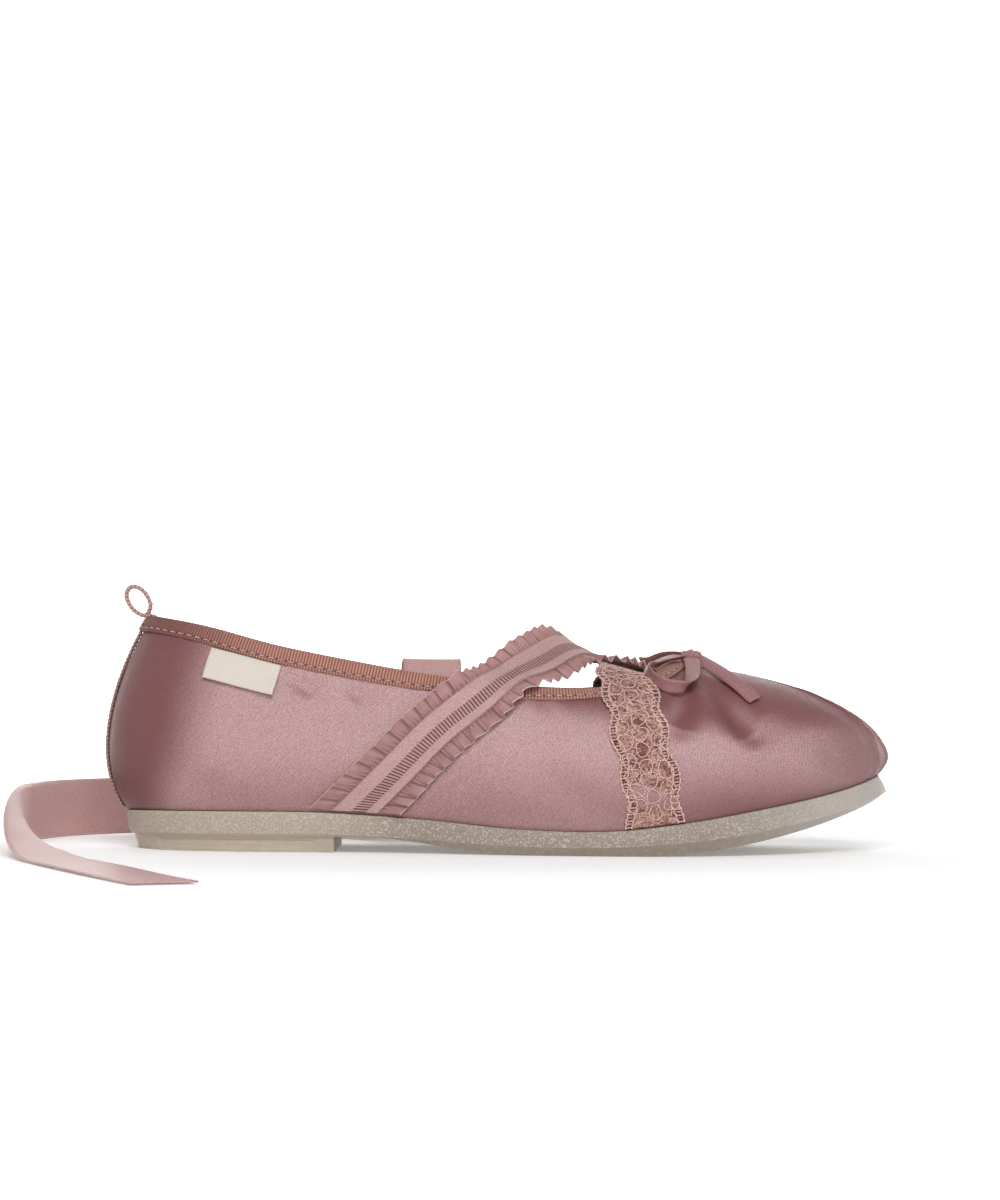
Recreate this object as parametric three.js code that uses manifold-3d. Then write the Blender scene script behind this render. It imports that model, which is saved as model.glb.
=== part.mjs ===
// Satin ballet flat for the right foot: rubber unit sole, hollow satin upper, bound collar,
// two instep straps, a bow at the throat and an ankle ribbon laid down on the floor.
// Millimetres. +X runs to the toe, +Y to the inner (medial) side, +Z up, floor at z = 0.
// The origin is under the middle of the shoe's box.
import * as THREE from 'three';
import Module from 'manifold-3d';
import { mergeVertices } from 'three/addons/utils/BufferGeometryUtils.js';

const wasm = await Module();
wasm.setup();

// Driving dimensions
const GAP = 0.3; // clearance between sewn or glued pieces
const WALL = 1.6; // satin, interlining and lining together
const HEEL_HEIGHT = 5; // heel lift under the unit sole
const HEEL_BREAST_X = -50.3; // front face of the heel lift
const ARCH_START_X = -42; // the waist leaves the level of the heel lift here
const ARCH_END_X = 8; // the waist comes down to the floor here
const SPRING_START_X = 46; // the toe starts to rise here
const SPRING_END_X = 121.5;
const TOE_SPRING = 16.5; // height of the tread at the toe
const SPRING_POWER = 1.75;
const INSOLE_INSET = 2.4;
const INSOLE_THICKNESS = 2.4;
const BINDING_TAPE = 0.7; // thickness of the folded collar tape
const BINDING_OUTSIDE = 4.8; // depth of the tape on the outside
const BINDING_INSIDE = 4.2;
const BINDING_CROWN = 0.7; // clear height inside the fold
const OVER_BINDING = GAP + BINDING_TAPE + GAP; // lift of what lies over the folded tape
const HEEL_TAPE_WIDTH = 5;
const HEEL_TAPE_THICKNESS = 1.1;
const LOOP_TAPE = { width: 4.5, thickness: 1.4 };
const LABEL = { x: -79.3, z: 56, length: 22.7, height: 9.8, thickness: 0.7, slope: -0.25, flare: 0.9 };
const RUFFLE = { width: 21, thickness: 1.2 };
const LACE = { width: 18, thickness: 0.8 };
const BOW_TAPE = { width: 4.3, thickness: 0.9 };
const RIBBON = { width: 19, thickness: 0.7 };

// Grid counts of the curved sheets
const STEPS_PER_ROW = 4; // columns of the upper between two section rows
const WALL_STEPS = 10; // steps from the sole to the rim
const BINDING_STEPS_PER_ROW = 3;
const STRAP_STEPS = 5; // steps between two route points
const STRAP_ACROSS = 5;

// The featherline, where the upper meets the top edge of the sole, from the toe back to the heel
const FEATHER = [
  { x: 122.4, lateral: 5, medial: 5, z: 24.4 },
  { x: 118.8, lateral: -7, medial: 16, z: 23 },
  { x: 110.5, lateral: -17.5, medial: 25.5, z: 20.4 },
  { x: 97.5, lateral: -27, medial: 33, z: 17.4 },
  { x: 80, lateral: -34.5, medial: 37.3, z: 14 },
  { x: 59, lateral: -38.8, medial: 38, z: 10.4 },
  { x: 34, lateral: -39.6, medial: 34.8, z: 7.7 },
  { x: 6, lateral: -36.6, medial: 29.5, z: 8.2 },
  { x: -23, lateral: -32.2, medial: 26.3, z: 10.8 },
  { x: -52, lateral: -29, medial: 26.3, z: 12.5 },
  { x: -79, lateral: -27.5, medial: 26.5, z: 12.7 },
  { x: -101, lateral: -23, medial: 22.5, z: 12.6 },
  { x: -113, lateral: -13, medial: 12.8, z: 12.3 },
  { x: -117.4, lateral: 0, medial: 0, z: 12 },
];

// The rim of the upper, from the middle of the throat back to the heel
const RIM = [
  { x: 56, lateral: 3, medial: 3, z: 59.4 },
  { x: 55.2, lateral: -4.5, medial: 10, z: 58.8 },
  { x: 52.6, lateral: -11.3, medial: 16, z: 57 },
  { x: 48, lateral: -17.2, medial: 20.6, z: 54.6 },
  { x: 41, lateral: -22, medial: 24, z: 52.4 },
  { x: 31, lateral: -25.8, medial: 26.4, z: 51 },
  { x: 17, lateral: -28.3, medial: 27, z: 51 },
  { x: -3, lateral: -29, medial: 26.3, z: 52.7 },
  { x: -27, lateral: -28, medial: 25, z: 55.8 },
  { x: -51, lateral: -25.8, medial: 24, z: 60 },
  { x: -73, lateral: -23, medial: 22, z: 64.5 },
  { x: -93, lateral: -17.6, medial: 17.2, z: 69.9 },
  { x: -106, lateral: -9.2, medial: 9.2, z: 72.5 },
  { x: -111, lateral: 0, medial: 0, z: 72.8 },
];

// How the wall swells between the featherline and the rim: rise and swell pull its foot up and
// out, along, reach and drop place its shoulder below the rim
const SWELL = [
  { rise: 17.2, swell: 11.6, along: 0.572, reach: 0, drop: 1.6 },
  { rise: 17.2, swell: 11.2, along: 0.57, reach: 0.6, drop: 1.8 },
  { rise: 17, swell: 10, along: 0.56, reach: 2, drop: 2.2 },
  { rise: 17, swell: 8.5, along: 0.55, reach: 3.6, drop: 3 },
  { rise: 17, swell: 7, along: 0.52, reach: 5.2, drop: 4.2 },
  { rise: 16.5, swell: 5.6, along: 0.45, reach: 6.3, drop: 5.8 },
  { rise: 15.5, swell: 4.6, along: 0.3, reach: 6.6, drop: 8 },
  { rise: 14.5, swell: 4.3, along: 0.2, reach: 6, drop: 10.5 },
  { rise: 14, swell: 4.6, along: 0.15, reach: 5, drop: 13 },
  { rise: 14, swell: 5.2, along: 0.15, reach: 4.8, drop: 15.5 },
  { rise: 14, swell: 6.2, along: 0.2, reach: 5.2, drop: 18 },
  { rise: 14, swell: 8, along: 0.25, reach: 7, drop: 20.5 },
  { rise: 14, swell: 10.2, along: 0.3, reach: 10, drop: 22.2 },
  { rise: 13.8, swell: 11.1, along: 0.3, reach: 11.1, drop: 22.6 },
];

// The side of the sole: height of the upright wall, its flare, and the bevel under it
const SOLE_SIDE = [
  { wall: 5.2, flare: 1.9, tuck: 3.2 },
  { wall: 5.2, flare: 1.8, tuck: 3.2 },
  { wall: 5.6, flare: 1.6, tuck: 3 },
  { wall: 6.2, flare: 1.4, tuck: 2.8 },
  { wall: 6.4, flare: 1.2, tuck: 2.6 },
  { wall: 6, flare: 1, tuck: 2.4 },
  { wall: 4.9, flare: 0.8, tuck: 2.2 },
  { wall: 5.3, flare: 0.6, tuck: 1.8 },
  { wall: 6.2, flare: 0.3, tuck: 1.2 },
  { wall: 6.6, flare: 0, tuck: 0.9 },
  { wall: 6.8, flare: -0.3, tuck: 0.8 },
  { wall: 6.8, flare: -0.6, tuck: 0.8 },
  { wall: 6.6, flare: -0.8, tuck: 0.8 },
  { wall: 6.4, flare: -0.9, tuck: 0.8 },
];
const SOLE_FLANGE = 0.5; // how far the top edge of the sole stands out from the featherline
const HEEL_LIFT = { topInset: 1.5, bottomInset: 3.2, steps: 18 };

// Strap routes: rows with a side lie on the upper at that length and height, or on its rim,
// the others give a point in the air with the slope that the band has across the instep;
// over is the room for a strap that lies underneath
const RUFFLE_ROUTE = [
  { side: -1, x: -43.5, z: 13.4 },
  { side: -1, x: -31, z: 25.5 },
  { side: -1, x: -18, z: 38.6 },
  { side: -1, x: -8.2, z: 47.6 },
  { side: -1, x: -0.6, rim: 2.8, fall: 0.1 },
  { x: 12.2, y: -16.5, z: 60.6, fall: 0.46, tilt: -0.5 },
  { x: 23.9, y: -2, z: 65.5, fall: 0.6, tilt: 0 },
  { x: 35.4, y: 12.2, z: 60, fall: 0.38, tilt: 0.5 },
  { side: 1, x: 46.6, rim: 3.6, over: 1.6, fall: 0 },
  { side: 1, x: 55, z: 47, over: 1.5 },
  { side: 1, x: 63, z: 36, over: 0.5 },
  { side: 1, x: 69.4, z: 24.6 },
  { side: 1, x: 73.6, z: 13.6 },
];
const LACE_ROUTE = [
  { side: -1, x: 49, z: 9.8 },
  { side: -1, x: 48, z: 22 },
  { side: -1, x: 44.9, z: 34 },
  { side: -1, x: 42.9, z: 45 },
  { side: -1, x: 41.4, rim: 2.4, fall: 0 },
  { x: 40.6, y: -10.5, z: 57, fall: 0.22, tilt: -0.35 },
  { x: 40.4, y: 1.5, z: 57.6, fall: 0.3, tilt: 0 },
  { x: 40, y: 13, z: 55.6, fall: 0.2, tilt: 0.4 },
  { side: 1, x: 38.6, rim: 2.6, fall: 0.1 },
  { side: 1, x: 39, z: 43.5 },
  { side: 1, x: 40.4, z: 32 },
  { side: 1, x: 42, z: 20.4 },
  { side: 1, x: 43.4, z: 9.4 },
];

// Pull loop in the middle plane, from the back of the rim round to its start
const LOOP_ROUTE = [
  { x: -112.6, z: 74.1 },
  { x: -111, z: 77 },
  { x: -112.2, z: 80.4 },
  { x: -114.6, z: 82.8 },
  { x: -117.2, z: 83.2 },
  { x: -118.7, z: 81.2 },
  { x: -118.1, z: 78.2 },
  { x: -115.9, z: 75.4 },
];

// Bow tape: one loop and one tail to each side of the knot; room is kept under each point
const BOW_KNOT = { x: 62.4, y: 3, z: 62.2, length: 6.6, width: 6, height: 3.4 };
const BOW_LOOPS = {
  near: [
    { x: 61, y: 2.4, z: 62.6, room: 1 },
    { x: 55, y: -4.8, z: 61.6, room: 2.4 },
    { x: 49.8, y: -13.6, z: 58.8, room: 3.2 },
    { x: 47.8, y: -20.6, z: 54.6, room: 3.8 },
    { x: 52.6, y: -25.4, z: 49.8, room: 3.4 },
    { x: 58.6, y: -24.4, z: 49.6, room: 2.8 },
    { x: 61.4, y: -15, z: 55.4, room: 2.2 },
    { x: 61.8, y: -5, z: 60.8, room: 2 },
  ],
  far: [
    { x: 61, y: 3.6, z: 62.6, room: 1 },
    { x: 54.8, y: 9.4, z: 62.4, room: 2.4 },
    { x: 50, y: 14.2, z: 62, room: 4 },
    { x: 48.4, y: 19, z: 61, room: 5 },
    { x: 52.4, y: 23.6, z: 59.4, room: 5.6 },
    { x: 58.6, y: 23.4, z: 59, room: 5.6 },
    { x: 62, y: 17, z: 60.2, room: 3.6 },
    { x: 62, y: 9, z: 60.8, room: 1.8 },
  ],
};
const BOW_TAILS = {
  near: [
    { x: 63.8, y: 2, z: 62.2, room: 1.4 },
    { x: 69.6, y: -4.8, z: 60.4, room: 1.1 },
    { x: 76, y: -12.4, z: 55.6, room: 1.1 },
    { x: 81, y: -19, z: 49.8, room: 1 },
  ],
  far: [
    { x: 63.8, y: 4, z: 62.2, room: 1.4 },
    { x: 69.6, y: 10.8, z: 60.4, room: 1.1 },
    { x: 76, y: 18.6, z: 55.8, room: 1.1 },
    { x: 81, y: 25, z: 50, room: 1 },
  ],
};

// Ankle ribbon: sewn inside the inner quarter, over the rim, down to the floor and round the
// heel, with the direction of its width at each point
const RIBBON_ROUTE = [
  { x: -21, y: 21.4, z: 42, across: [1, 0, 0] },
  { x: -21, y: 21.2, z: 50, across: [1, 0, 0] },
  { x: -21, y: 22.3, z: 57.6, across: [1, 0, 0] },
  { x: -21.4, y: 26.2, z: 60.6, across: [1, 0, 0] },
  { x: -22, y: 31, z: 57, across: [1, 0, 0] },
  { x: -22.6, y: 36, z: 47.4, across: [0.98, 0.2, 0] },
  { x: -23.6, y: 40.4, z: 36, across: [0.9, 0.44, 0] },
  { x: -25.6, y: 44.6, z: 24, across: [0.78, 0.62, 0] },
  { x: -29.4, y: 49, z: 12, across: [0.7, 0.71, 0] },
  { x: -37, y: 56, z: 4, across: [0.68, 0.73, 0] },
  { x: -47, y: 64.6, z: 1.3, across: [0.64, 0.77, 0.03] },
  { x: -58.5, y: 73, z: 2.8, across: [0.54, 0.82, 0.2] },
  { x: -72, y: 80.4, z: 6.4, across: [0.38, 0.72, 0.58] },
  { x: -88, y: 85.4, z: 9.6, across: [0.14, 0.36, 0.92] },
  { x: -103, y: 84, z: 10.2, across: [0, 0.05, 1] },
  { x: -119, y: 78, z: 10.2, across: [0, 0, 1] },
  { x: -132.6, y: 66.6, z: 10.2, across: [0, 0, 1] },
  { x: -142.6, y: 51, z: 10.2, across: [0, 0, 1] },
  { x: -148.6, y: 33, z: 10.2, across: [0, 0, 1] },
  { x: -150.6, y: 14, z: 10.2, across: [0, 0, 1] },
  { x: -149.8, y: -5, z: 10.2, across: [-0.16, 0, 0.98] },
  { x: -147, y: -23.6, z: 8.9, across: [-0.5, 0, 0.85] },
  { x: -142.8, y: -41.6, z: 6.1, across: [-0.82, -0.1, 0.55] },
  { x: -137.6, y: -59.4, z: 2.8, across: [-0.96, -0.2, 0.2] },
  { x: -131.4, y: -77, z: 1, across: [-0.95, -0.32, 0.02] },
  { x: -124.6, y: -94.6, z: 0.8, across: [-0.93, -0.36, 0] },
  { x: -117.4, y: -112, z: 0.8, across: [-0.92, -0.38, 0] },
  { x: -110, y: -129.4, z: 0.8, across: [-0.92, -0.39, 0] },
  { x: -102.4, y: -146.8, z: 0.8, across: [-0.91, -0.41, 0] },
  { x: -94.6, y: -164, z: 0.8, across: [-0.91, -0.41, 0] },
  { x: -86.6, y: -181.2, z: 0.8, across: [-0.91, -0.42, 0] },
];

// Smooth closed columns through the section rows, lateral side first
const LAST_ROW = FEATHER.length - 1;
const TURN = 2 * LAST_ROW;
function around(table, lateral, medial = lateral) {
  const out = table.map((row) => row[lateral]);
  const back = table.slice(1, -1).reverse().map((row) => row[medial]);
  return [...out, ...back];
}
const COLUMNS = {
  footX: around(FEATHER, 'x'),
  footY: around(FEATHER, 'lateral', 'medial'),
  footZ: around(FEATHER, 'z'),
  rimX: around(RIM, 'x'),
  rimY: around(RIM, 'lateral', 'medial'),
  rimZ: around(RIM, 'z'),
};
for (const name of ['rise', 'swell', 'along', 'reach', 'drop']) {
  COLUMNS[name] = around(SWELL, name);
}
for (const name of ['wall', 'flare', 'tuck']) {
  COLUMNS[name] = around(SOLE_SIDE, name);
}

// Uniform Catmull-Rom value of a closed column at a fractional row
function column(name, at) {
  const values = COLUMNS[name];
  const row = Math.floor(at);
  const f = at - row;
  const [a, b, c, d] = [-1, 0, 1, 2].map((k) => values[(row + k + 2 * TURN) % TURN]);
  return b + 0.5 * f * (c - a + f * (2 * a - 5 * b + 4 * c - d + f * (3 * (b - c) + d - a)));
}

// Level direction square to the featherline, away from the foot
function outward(at) {
  const step = 0.05;
  const dx = column('footX', at + step) - column('footX', at - step);
  const dy = column('footY', at + step) - column('footY', at - step);
  return new THREE.Vector3(-dy, dx, 0).normalize();
}

// Point of the upper's outer face: at goes round by rows, up goes from 0 at the sole to 1 at the rim
function wallPoint(at, up) {
  const out = outward(at);
  const foot = new THREE.Vector3(column('footX', at), column('footY', at), column('footZ', at) + GAP);
  const rim = new THREE.Vector3(column('rimX', at), column('rimY', at), column('rimZ', at));
  const low = foot.clone().addScaledVector(out, column('swell', at));
  low.z += column('rise', at);
  const high = rim.clone().lerp(foot, column('along', at)).addScaledVector(out, column('reach', at));
  high.z = rim.z - column('drop', at);
  const down = 1 - up;
  return foot.multiplyScalar(down ** 3)
    .addScaledVector(low, 3 * down * down * up)
    .addScaledVector(high, 3 * down * up * up)
    .addScaledVector(rim, up ** 3);
}

// The wall's own directions at a point: along the rows, up the wall and out of it
function wallFrame(at, up) {
  const step = 0.01;
  const point = wallPoint(at, up);
  const onward = wallPoint(at + step, up).sub(wallPoint(at - step, up)).divideScalar(2 * step);
  const upward = wallPoint(at, up + step).sub(wallPoint(at, up - step)).divideScalar(2 * step);
  const normal = upward.clone().cross(onward).normalize();
  return { at, up, point, onward, upward, normal };
}

// Coarse samples of the wall, where searches on it start
const WALL_SAMPLES = [];
for (let at = 0; at < TURN; at += 0.5) {
  for (const up of [0.05, 0.2, 0.35, 0.5, 0.65, 0.8, 0.95]) {
    WALL_SAMPLES.push({ at, up, point: wallPoint(at, up) });
  }
}
function bestSample(score) {
  let best = { score: Infinity };
  for (const sample of WALL_SAMPLES) {
    const value = score(sample);
    if (value < best.score) {
      best = { ...sample, score: value };
    }
  }
  return best;
}

// The wall point nearest to a given point
function nearestOnWall(target) {
  const ROUNDS = 10;
  const start = bestSample(({ point }) => point.distanceToSquared(target));
  let frame = wallFrame(start.at, start.up);
  for (let round = 0; round < ROUNDS; round += 1) {
    const off = target.clone().sub(frame.point);
    const { onward: a, upward: b } = frame;
    const [aa, ab, bb] = [a.dot(a), a.dot(b), b.dot(b)];
    const [ra, rb] = [off.dot(a), off.dot(b)];
    const stepUp = (rb * aa - ra * ab) / (aa * bb - ab * ab);
    const up = THREE.MathUtils.clamp(frame.up + stepUp, 0, 1);
    const stepAt = (ra - ab * (up - frame.up)) / aa;
    frame = wallFrame(frame.at + THREE.MathUtils.clamp(stepAt, -0.5, 0.5), up);
  }
  return frame;
}

// The wall point of one side (-1 lateral, 1 medial) at a length x and a height z
function seatOnWall(side, x, z) {
  const ROUNDS = 12;
  const start = bestSample(({ point }) => (
    Math.hypot(point.x - x, point.z - z) + (point.y * side < 0 ? Infinity : 0)
  ));
  let frame = wallFrame(start.at, start.up);
  for (let round = 0; round < ROUNDS; round += 1) {
    const { onward: a, upward: b, point } = frame;
    const size = a.x * b.z - a.z * b.x;
    const [dx, dz] = [x - point.x, z - point.z];
    const stepAt = (dx * b.z - dz * b.x) / size;
    const stepUp = (dz * a.x - dx * a.z) / size;
    frame = wallFrame(
      frame.at + THREE.MathUtils.clamp(stepAt, -0.5, 0.5),
      frame.up + THREE.MathUtils.clamp(stepUp, -0.2, 0.2),
    );
  }
  return frame;
}

// The rim at a row, with the direction that leaves the wall there, square to the rim
function rimFrame(at) {
  const frame = wallFrame(at, 1);
  const leave = frame.onward.clone().cross(frame.normal).normalize();
  return { ...frame, leave: leave.dot(frame.upward) < 0 ? leave.negate() : leave };
}

// The rim of one side at a length x
function rimAtLength(side, x) {
  const ROUNDS = 40;
  let [front, back] = [0, LAST_ROW];
  for (let round = 0; round < ROUNDS; round += 1) {
    const middle = (front + back) / 2;
    [front, back] = column('rimX', middle) > x ? [middle, back] : [front, middle];
  }
  return rimFrame(side < 0 ? front : TURN - front);
}

function raised(frame, height) {
  return frame.point.clone().addScaledVector(frame.normal, height);
}

// Clearance that a piece on the wall keeps: more where the folded tape lies under it
function liftAt(frame) {
  const RAMP = 4;
  const below = (1 - frame.up) * frame.upward.length();
  const clear = THREE.MathUtils.smoothstep(below, BINDING_OUTSIDE + 1, BINDING_OUTSIDE + 1 + RAMP);
  return THREE.MathUtils.lerp(OVER_BINDING, GAP, clear);
}

// Geometry from points and triangles, turned so that its faces point out
function solidGeometry(points, faces) {
  let volume = 0;
  for (let i = 0; i < faces.length; i += 3) {
    const [a, b, c] = [points[faces[i]], points[faces[i + 1]], points[faces[i + 2]]];
    volume += a.dot(b.clone().cross(c));
  }
  const geometry = new THREE.BufferGeometry().setFromPoints(points);
  geometry.setIndex(volume < 0 ? faces.slice().reverse() : faces);
  geometry.computeVertexNormals();
  return geometry;
}

// A sheet with thickness: front and back are grids of points, rows by columns
function sheetGeometry(front, back, looped = false) {
  const rows = front.length;
  const columns = front[0].length;
  const faces = [];
  const quad = (a, b, c, d) => faces.push(a, b, c, a, c, d);
  const f = (i, j) => (i % rows) * columns + j;
  const r = (i, j) => rows * columns + f(i, j);
  const lastRow = looped ? rows : rows - 1;
  const edge = columns - 1;
  for (let i = 0; i < lastRow; i += 1) {
    for (let j = 0; j < edge; j += 1) {
      quad(f(i, j), f(i, j + 1), f(i + 1, j + 1), f(i + 1, j));
      quad(r(i, j), r(i + 1, j), r(i + 1, j + 1), r(i, j + 1));
    }
    quad(f(i, 0), f(i + 1, 0), r(i + 1, 0), r(i, 0));
    quad(f(i, edge), r(i, edge), r(i + 1, edge), f(i + 1, edge));
  }
  for (let j = 0; j < edge && !looped; j += 1) {
    quad(f(0, j + 1), f(0, j), r(0, j), r(0, j + 1));
    quad(f(lastRow, j), f(lastRow, j + 1), r(lastRow, j + 1), r(lastRow, j));
  }
  return solidGeometry([...front.flat(), ...back.flat()], faces);
}

// A stack of closed outlines, each starting at its toe end and passing its heel end half way
// round; the caps run straight from side to side
function stackGeometry(loops) {
  const count = loops[0].length;
  const faces = [];
  const node = (level, i) => level * count + (i % count);
  for (let level = 0; level + 1 < loops.length; level += 1) {
    for (let i = 0; i < count; i += 1) {
      faces.push(node(level, i), node(level, i + 1), node(level + 1, i + 1));
      faces.push(node(level, i), node(level + 1, i + 1), node(level + 1, i));
    }
  }
  const cap = (level, turned) => {
    for (let i = 0; i < count / 2; i += 1) {
      const [a, b, c, d] = [i, i + 1, count - i - 1, count - i].map((k) => node(level, k));
      const triangles = [];
      if (a !== d) {
        triangles.push([b, a, d]);
      }
      if (b !== c) {
        triangles.push([b, d, c]);
      }
      faces.push(...triangles.map((triangle) => (turned ? triangle.reverse() : triangle)).flat());
    }
  };
  cap(0, false);
  cap(loops.length - 1, true);
  return solidGeometry(loops.flat(), faces);
}

// A flat tape along a curve: across gives the direction of its width at a part of the way
function tapeGeometry(curve, across, { width, thickness }, steps, looped = false) {
  const front = [];
  const back = [];
  for (let i = 0; i < (looped ? steps : steps + 1); i += 1) {
    const way = i / steps;
    const middle = curve.getPoint(way);
    const along = curve.getTangent(way);
    const wide = across(way, along);
    wide.addScaledVector(along, -wide.dot(along)).normalize();
    const thick = along.clone().cross(wide);
    const corner = (side, face) => middle.clone()
      .addScaledVector(wide, (side * width) / 2)
      .addScaledVector(thick, (face * thickness) / 2);
    front.push([corner(-1, 1), corner(1, 1)]);
    back.push([corner(-1, -1), corner(1, -1)]);
  }
  return sheetGeometry(front, back, looped);
}

function vector({ x, y = 0, z }) {
  return new THREE.Vector3(x, y, z);
}

// Height of the tread over the floor
function treadHeight(x) {
  if (x < ARCH_START_X) {
    return HEEL_HEIGHT;
  }
  if (x < ARCH_END_X) {
    const part = (x - ARCH_START_X) / (ARCH_END_X - ARCH_START_X);
    return (HEEL_HEIGHT * (1 + Math.cos(Math.PI * part))) / 2;
  }
  if (x < SPRING_START_X) {
    return 0;
  }
  return TOE_SPRING * ((x - SPRING_START_X) / (SPRING_END_X - SPRING_START_X)) ** SPRING_POWER;
}

// Featherline moved out by a distance, with a height for each point
function footLoop(offset, height) {
  const points = [];
  for (let i = 0; i < TURN * STEPS_PER_ROW; i += 1) {
    const at = i / STEPS_PER_ROW;
    const point = new THREE.Vector3(column('footX', at), column('footY', at), 0);
    point.addScaledVector(outward(at), offset(at));
    point.z = height(at, point.x);
    points.push(point);
  }
  return points;
}

function outsoleGeometry() {
  const lowEdge = (at) => SOLE_FLANGE + column('flare', at);
  return stackGeometry([
    footLoop((at) => lowEdge(at) - column('tuck', at), (at, x) => treadHeight(x)),
    footLoop(lowEdge, (at) => column('footZ', at) - column('wall', at)),
    footLoop(() => SOLE_FLANGE, (at) => column('footZ', at)),
  ]);
}

function heelLiftLoop(inset, z) {
  const ROUNDS = 40;
  let [front, back] = [0, LAST_ROW];
  for (let round = 0; round < ROUNDS; round += 1) {
    const middle = (front + back) / 2;
    [front, back] = column('footX', middle) > HEEL_BREAST_X ? [middle, back] : [front, middle];
  }
  const points = [new THREE.Vector3(HEEL_BREAST_X, 0, z)];
  for (let i = 0; i <= 2 * HEEL_LIFT.steps; i += 1) {
    const at = front + ((LAST_ROW - front) * i) / HEEL_LIFT.steps;
    const point = new THREE.Vector3(column('footX', at), column('footY', at), 0);
    point.addScaledVector(outward(at), SOLE_FLANGE + column('flare', at) - inset);
    const edge = i === 0 || i === 2 * HEEL_LIFT.steps;
    points.push(new THREE.Vector3(edge ? HEEL_BREAST_X : point.x, point.y, z));
  }
  return points;
}

function heelBlockGeometry() {
  return stackGeometry([
    heelLiftLoop(HEEL_LIFT.bottomInset, 0),
    heelLiftLoop(HEEL_LIFT.topInset, HEEL_HEIGHT),
  ]);
}

function insoleGeometry() {
  const level = (rise) => footLoop(() => -INSOLE_INSET, (at) => column('footZ', at) + GAP + rise);
  return stackGeometry([level(0), level(INSOLE_THICKNESS)]);
}

function upperGeometry() {
  const front = [];
  const back = [];
  for (let i = 0; i < TURN * STEPS_PER_ROW; i += 1) {
    const frames = [];
    for (let j = 0; j <= WALL_STEPS; j += 1) {
      frames.push(wallFrame(i / STEPS_PER_ROW, j / WALL_STEPS));
    }
    front.push(frames.map((frame) => frame.point));
    back.push(frames.map((frame) => raised(frame, -WALL)));
  }
  return sheetGeometry(front, back, true);
}

// Collar tape, folded over the rim
function bindingGeometry() {
  const front = [];
  const back = [];
  for (let i = 0; i < TURN * BINDING_STEPS_PER_ROW; i += 1) {
    const rim = rimFrame(i / BINDING_STEPS_PER_ROW);
    const outside = nearestOnWall(rim.point.clone().addScaledVector(rim.leave, -BINDING_OUTSIDE));
    const inside = nearestOnWall(rim.point.clone().addScaledVector(rim.leave, -BINDING_INSIDE));
    const fold = (layer, crown) => [
      raised(outside, layer),
      raised(rim, layer),
      raised(rim, -WALL / 2).addScaledVector(rim.leave, crown),
      raised(rim, -WALL - layer),
      raised(inside, -WALL - layer),
    ];
    front.push(fold(GAP + BINDING_TAPE, BINDING_CROWN + BINDING_TAPE));
    back.push(fold(GAP, BINDING_CROWN));
  }
  return sheetGeometry(front, back, true);
}

// Tape over the centre back seam, from the sole to the rim
function heelTapeGeometry() {
  const STEPS = 14;
  const [LOW, HIGH] = [0.02, 0.99];
  const front = [];
  const back = [];
  for (let i = 0; i <= STEPS; i += 1) {
    const middle = wallFrame(LAST_ROW, THREE.MathUtils.lerp(LOW, HIGH, i / STEPS));
    const frames = [-0.5, 0, 0.5].map((side) => {
      const target = middle.point.clone();
      target.y += side * HEEL_TAPE_WIDTH;
      return nearestOnWall(target);
    });
    front.push(frames.map((frame) => raised(frame, liftAt(frame) + HEEL_TAPE_THICKNESS)));
    back.push(frames.map((frame) => raised(frame, liftAt(frame))));
  }
  return sheetGeometry(front, back);
}

function pullLoopGeometry() {
  const STEPS = 32;
  const curve = new THREE.CatmullRomCurve3(LOOP_ROUTE.map(vector), true);
  return tapeGeometry(curve, () => new THREE.Vector3(0, 1, 0), LOOP_TAPE, STEPS, true);
}

// Small label under the binding of the lateral quarter, standing off a little at its lower edge
function labelGeometry() {
  const [LENGTH_STEPS, HEIGHT_STEPS] = [6, 3];
  const length = new THREE.Vector2(1, LABEL.slope).normalize();
  const front = [];
  const back = [];
  for (let i = 0; i <= LENGTH_STEPS; i += 1) {
    const frontRow = [];
    const backRow = [];
    for (let j = 0; j <= HEIGHT_STEPS; j += 1) {
      const a = (i / LENGTH_STEPS - 0.5) * LABEL.length;
      const b = (j / HEIGHT_STEPS - 0.5) * LABEL.height;
      const seat = seatOnWall(-1, LABEL.x + a * length.x - b * length.y, LABEL.z + a * length.y + b * length.x);
      const lift = GAP + LABEL.flare * (1 - j / HEIGHT_STEPS);
      frontRow.push(raised(seat, lift + LABEL.thickness));
      backRow.push(raised(seat, lift));
    }
    front.push(frontRow);
    back.push(backRow);
  }
  return sheetGeometry(front, back);
}

// Middle line of a strap with its facing direction and how firmly it is held to the wall
function strapRow(row, thickness) {
  const { over = 0, fall = 0, tilt = 0 } = row;
  if (row.rim !== undefined) {
    const rim = rimAtLength(row.side, row.x);
    const point = raised(rim, OVER_BINDING + over + thickness / 2).addScaledVector(rim.leave, row.rim);
    return { point, facing: rim.normal.clone().add(rim.leave).setX(fall).normalize(), hold: 0, over };
  }
  if (row.side !== undefined) {
    const seat = seatOnWall(row.side, row.x, row.z);
    return { point: raised(seat, liftAt(seat) + over + thickness / 2), facing: seat.normal, hold: 1, over };
  }
  return { point: vector(row), facing: new THREE.Vector3(fall, tilt, 1).normalize(), hold: 0, over };
}

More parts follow.
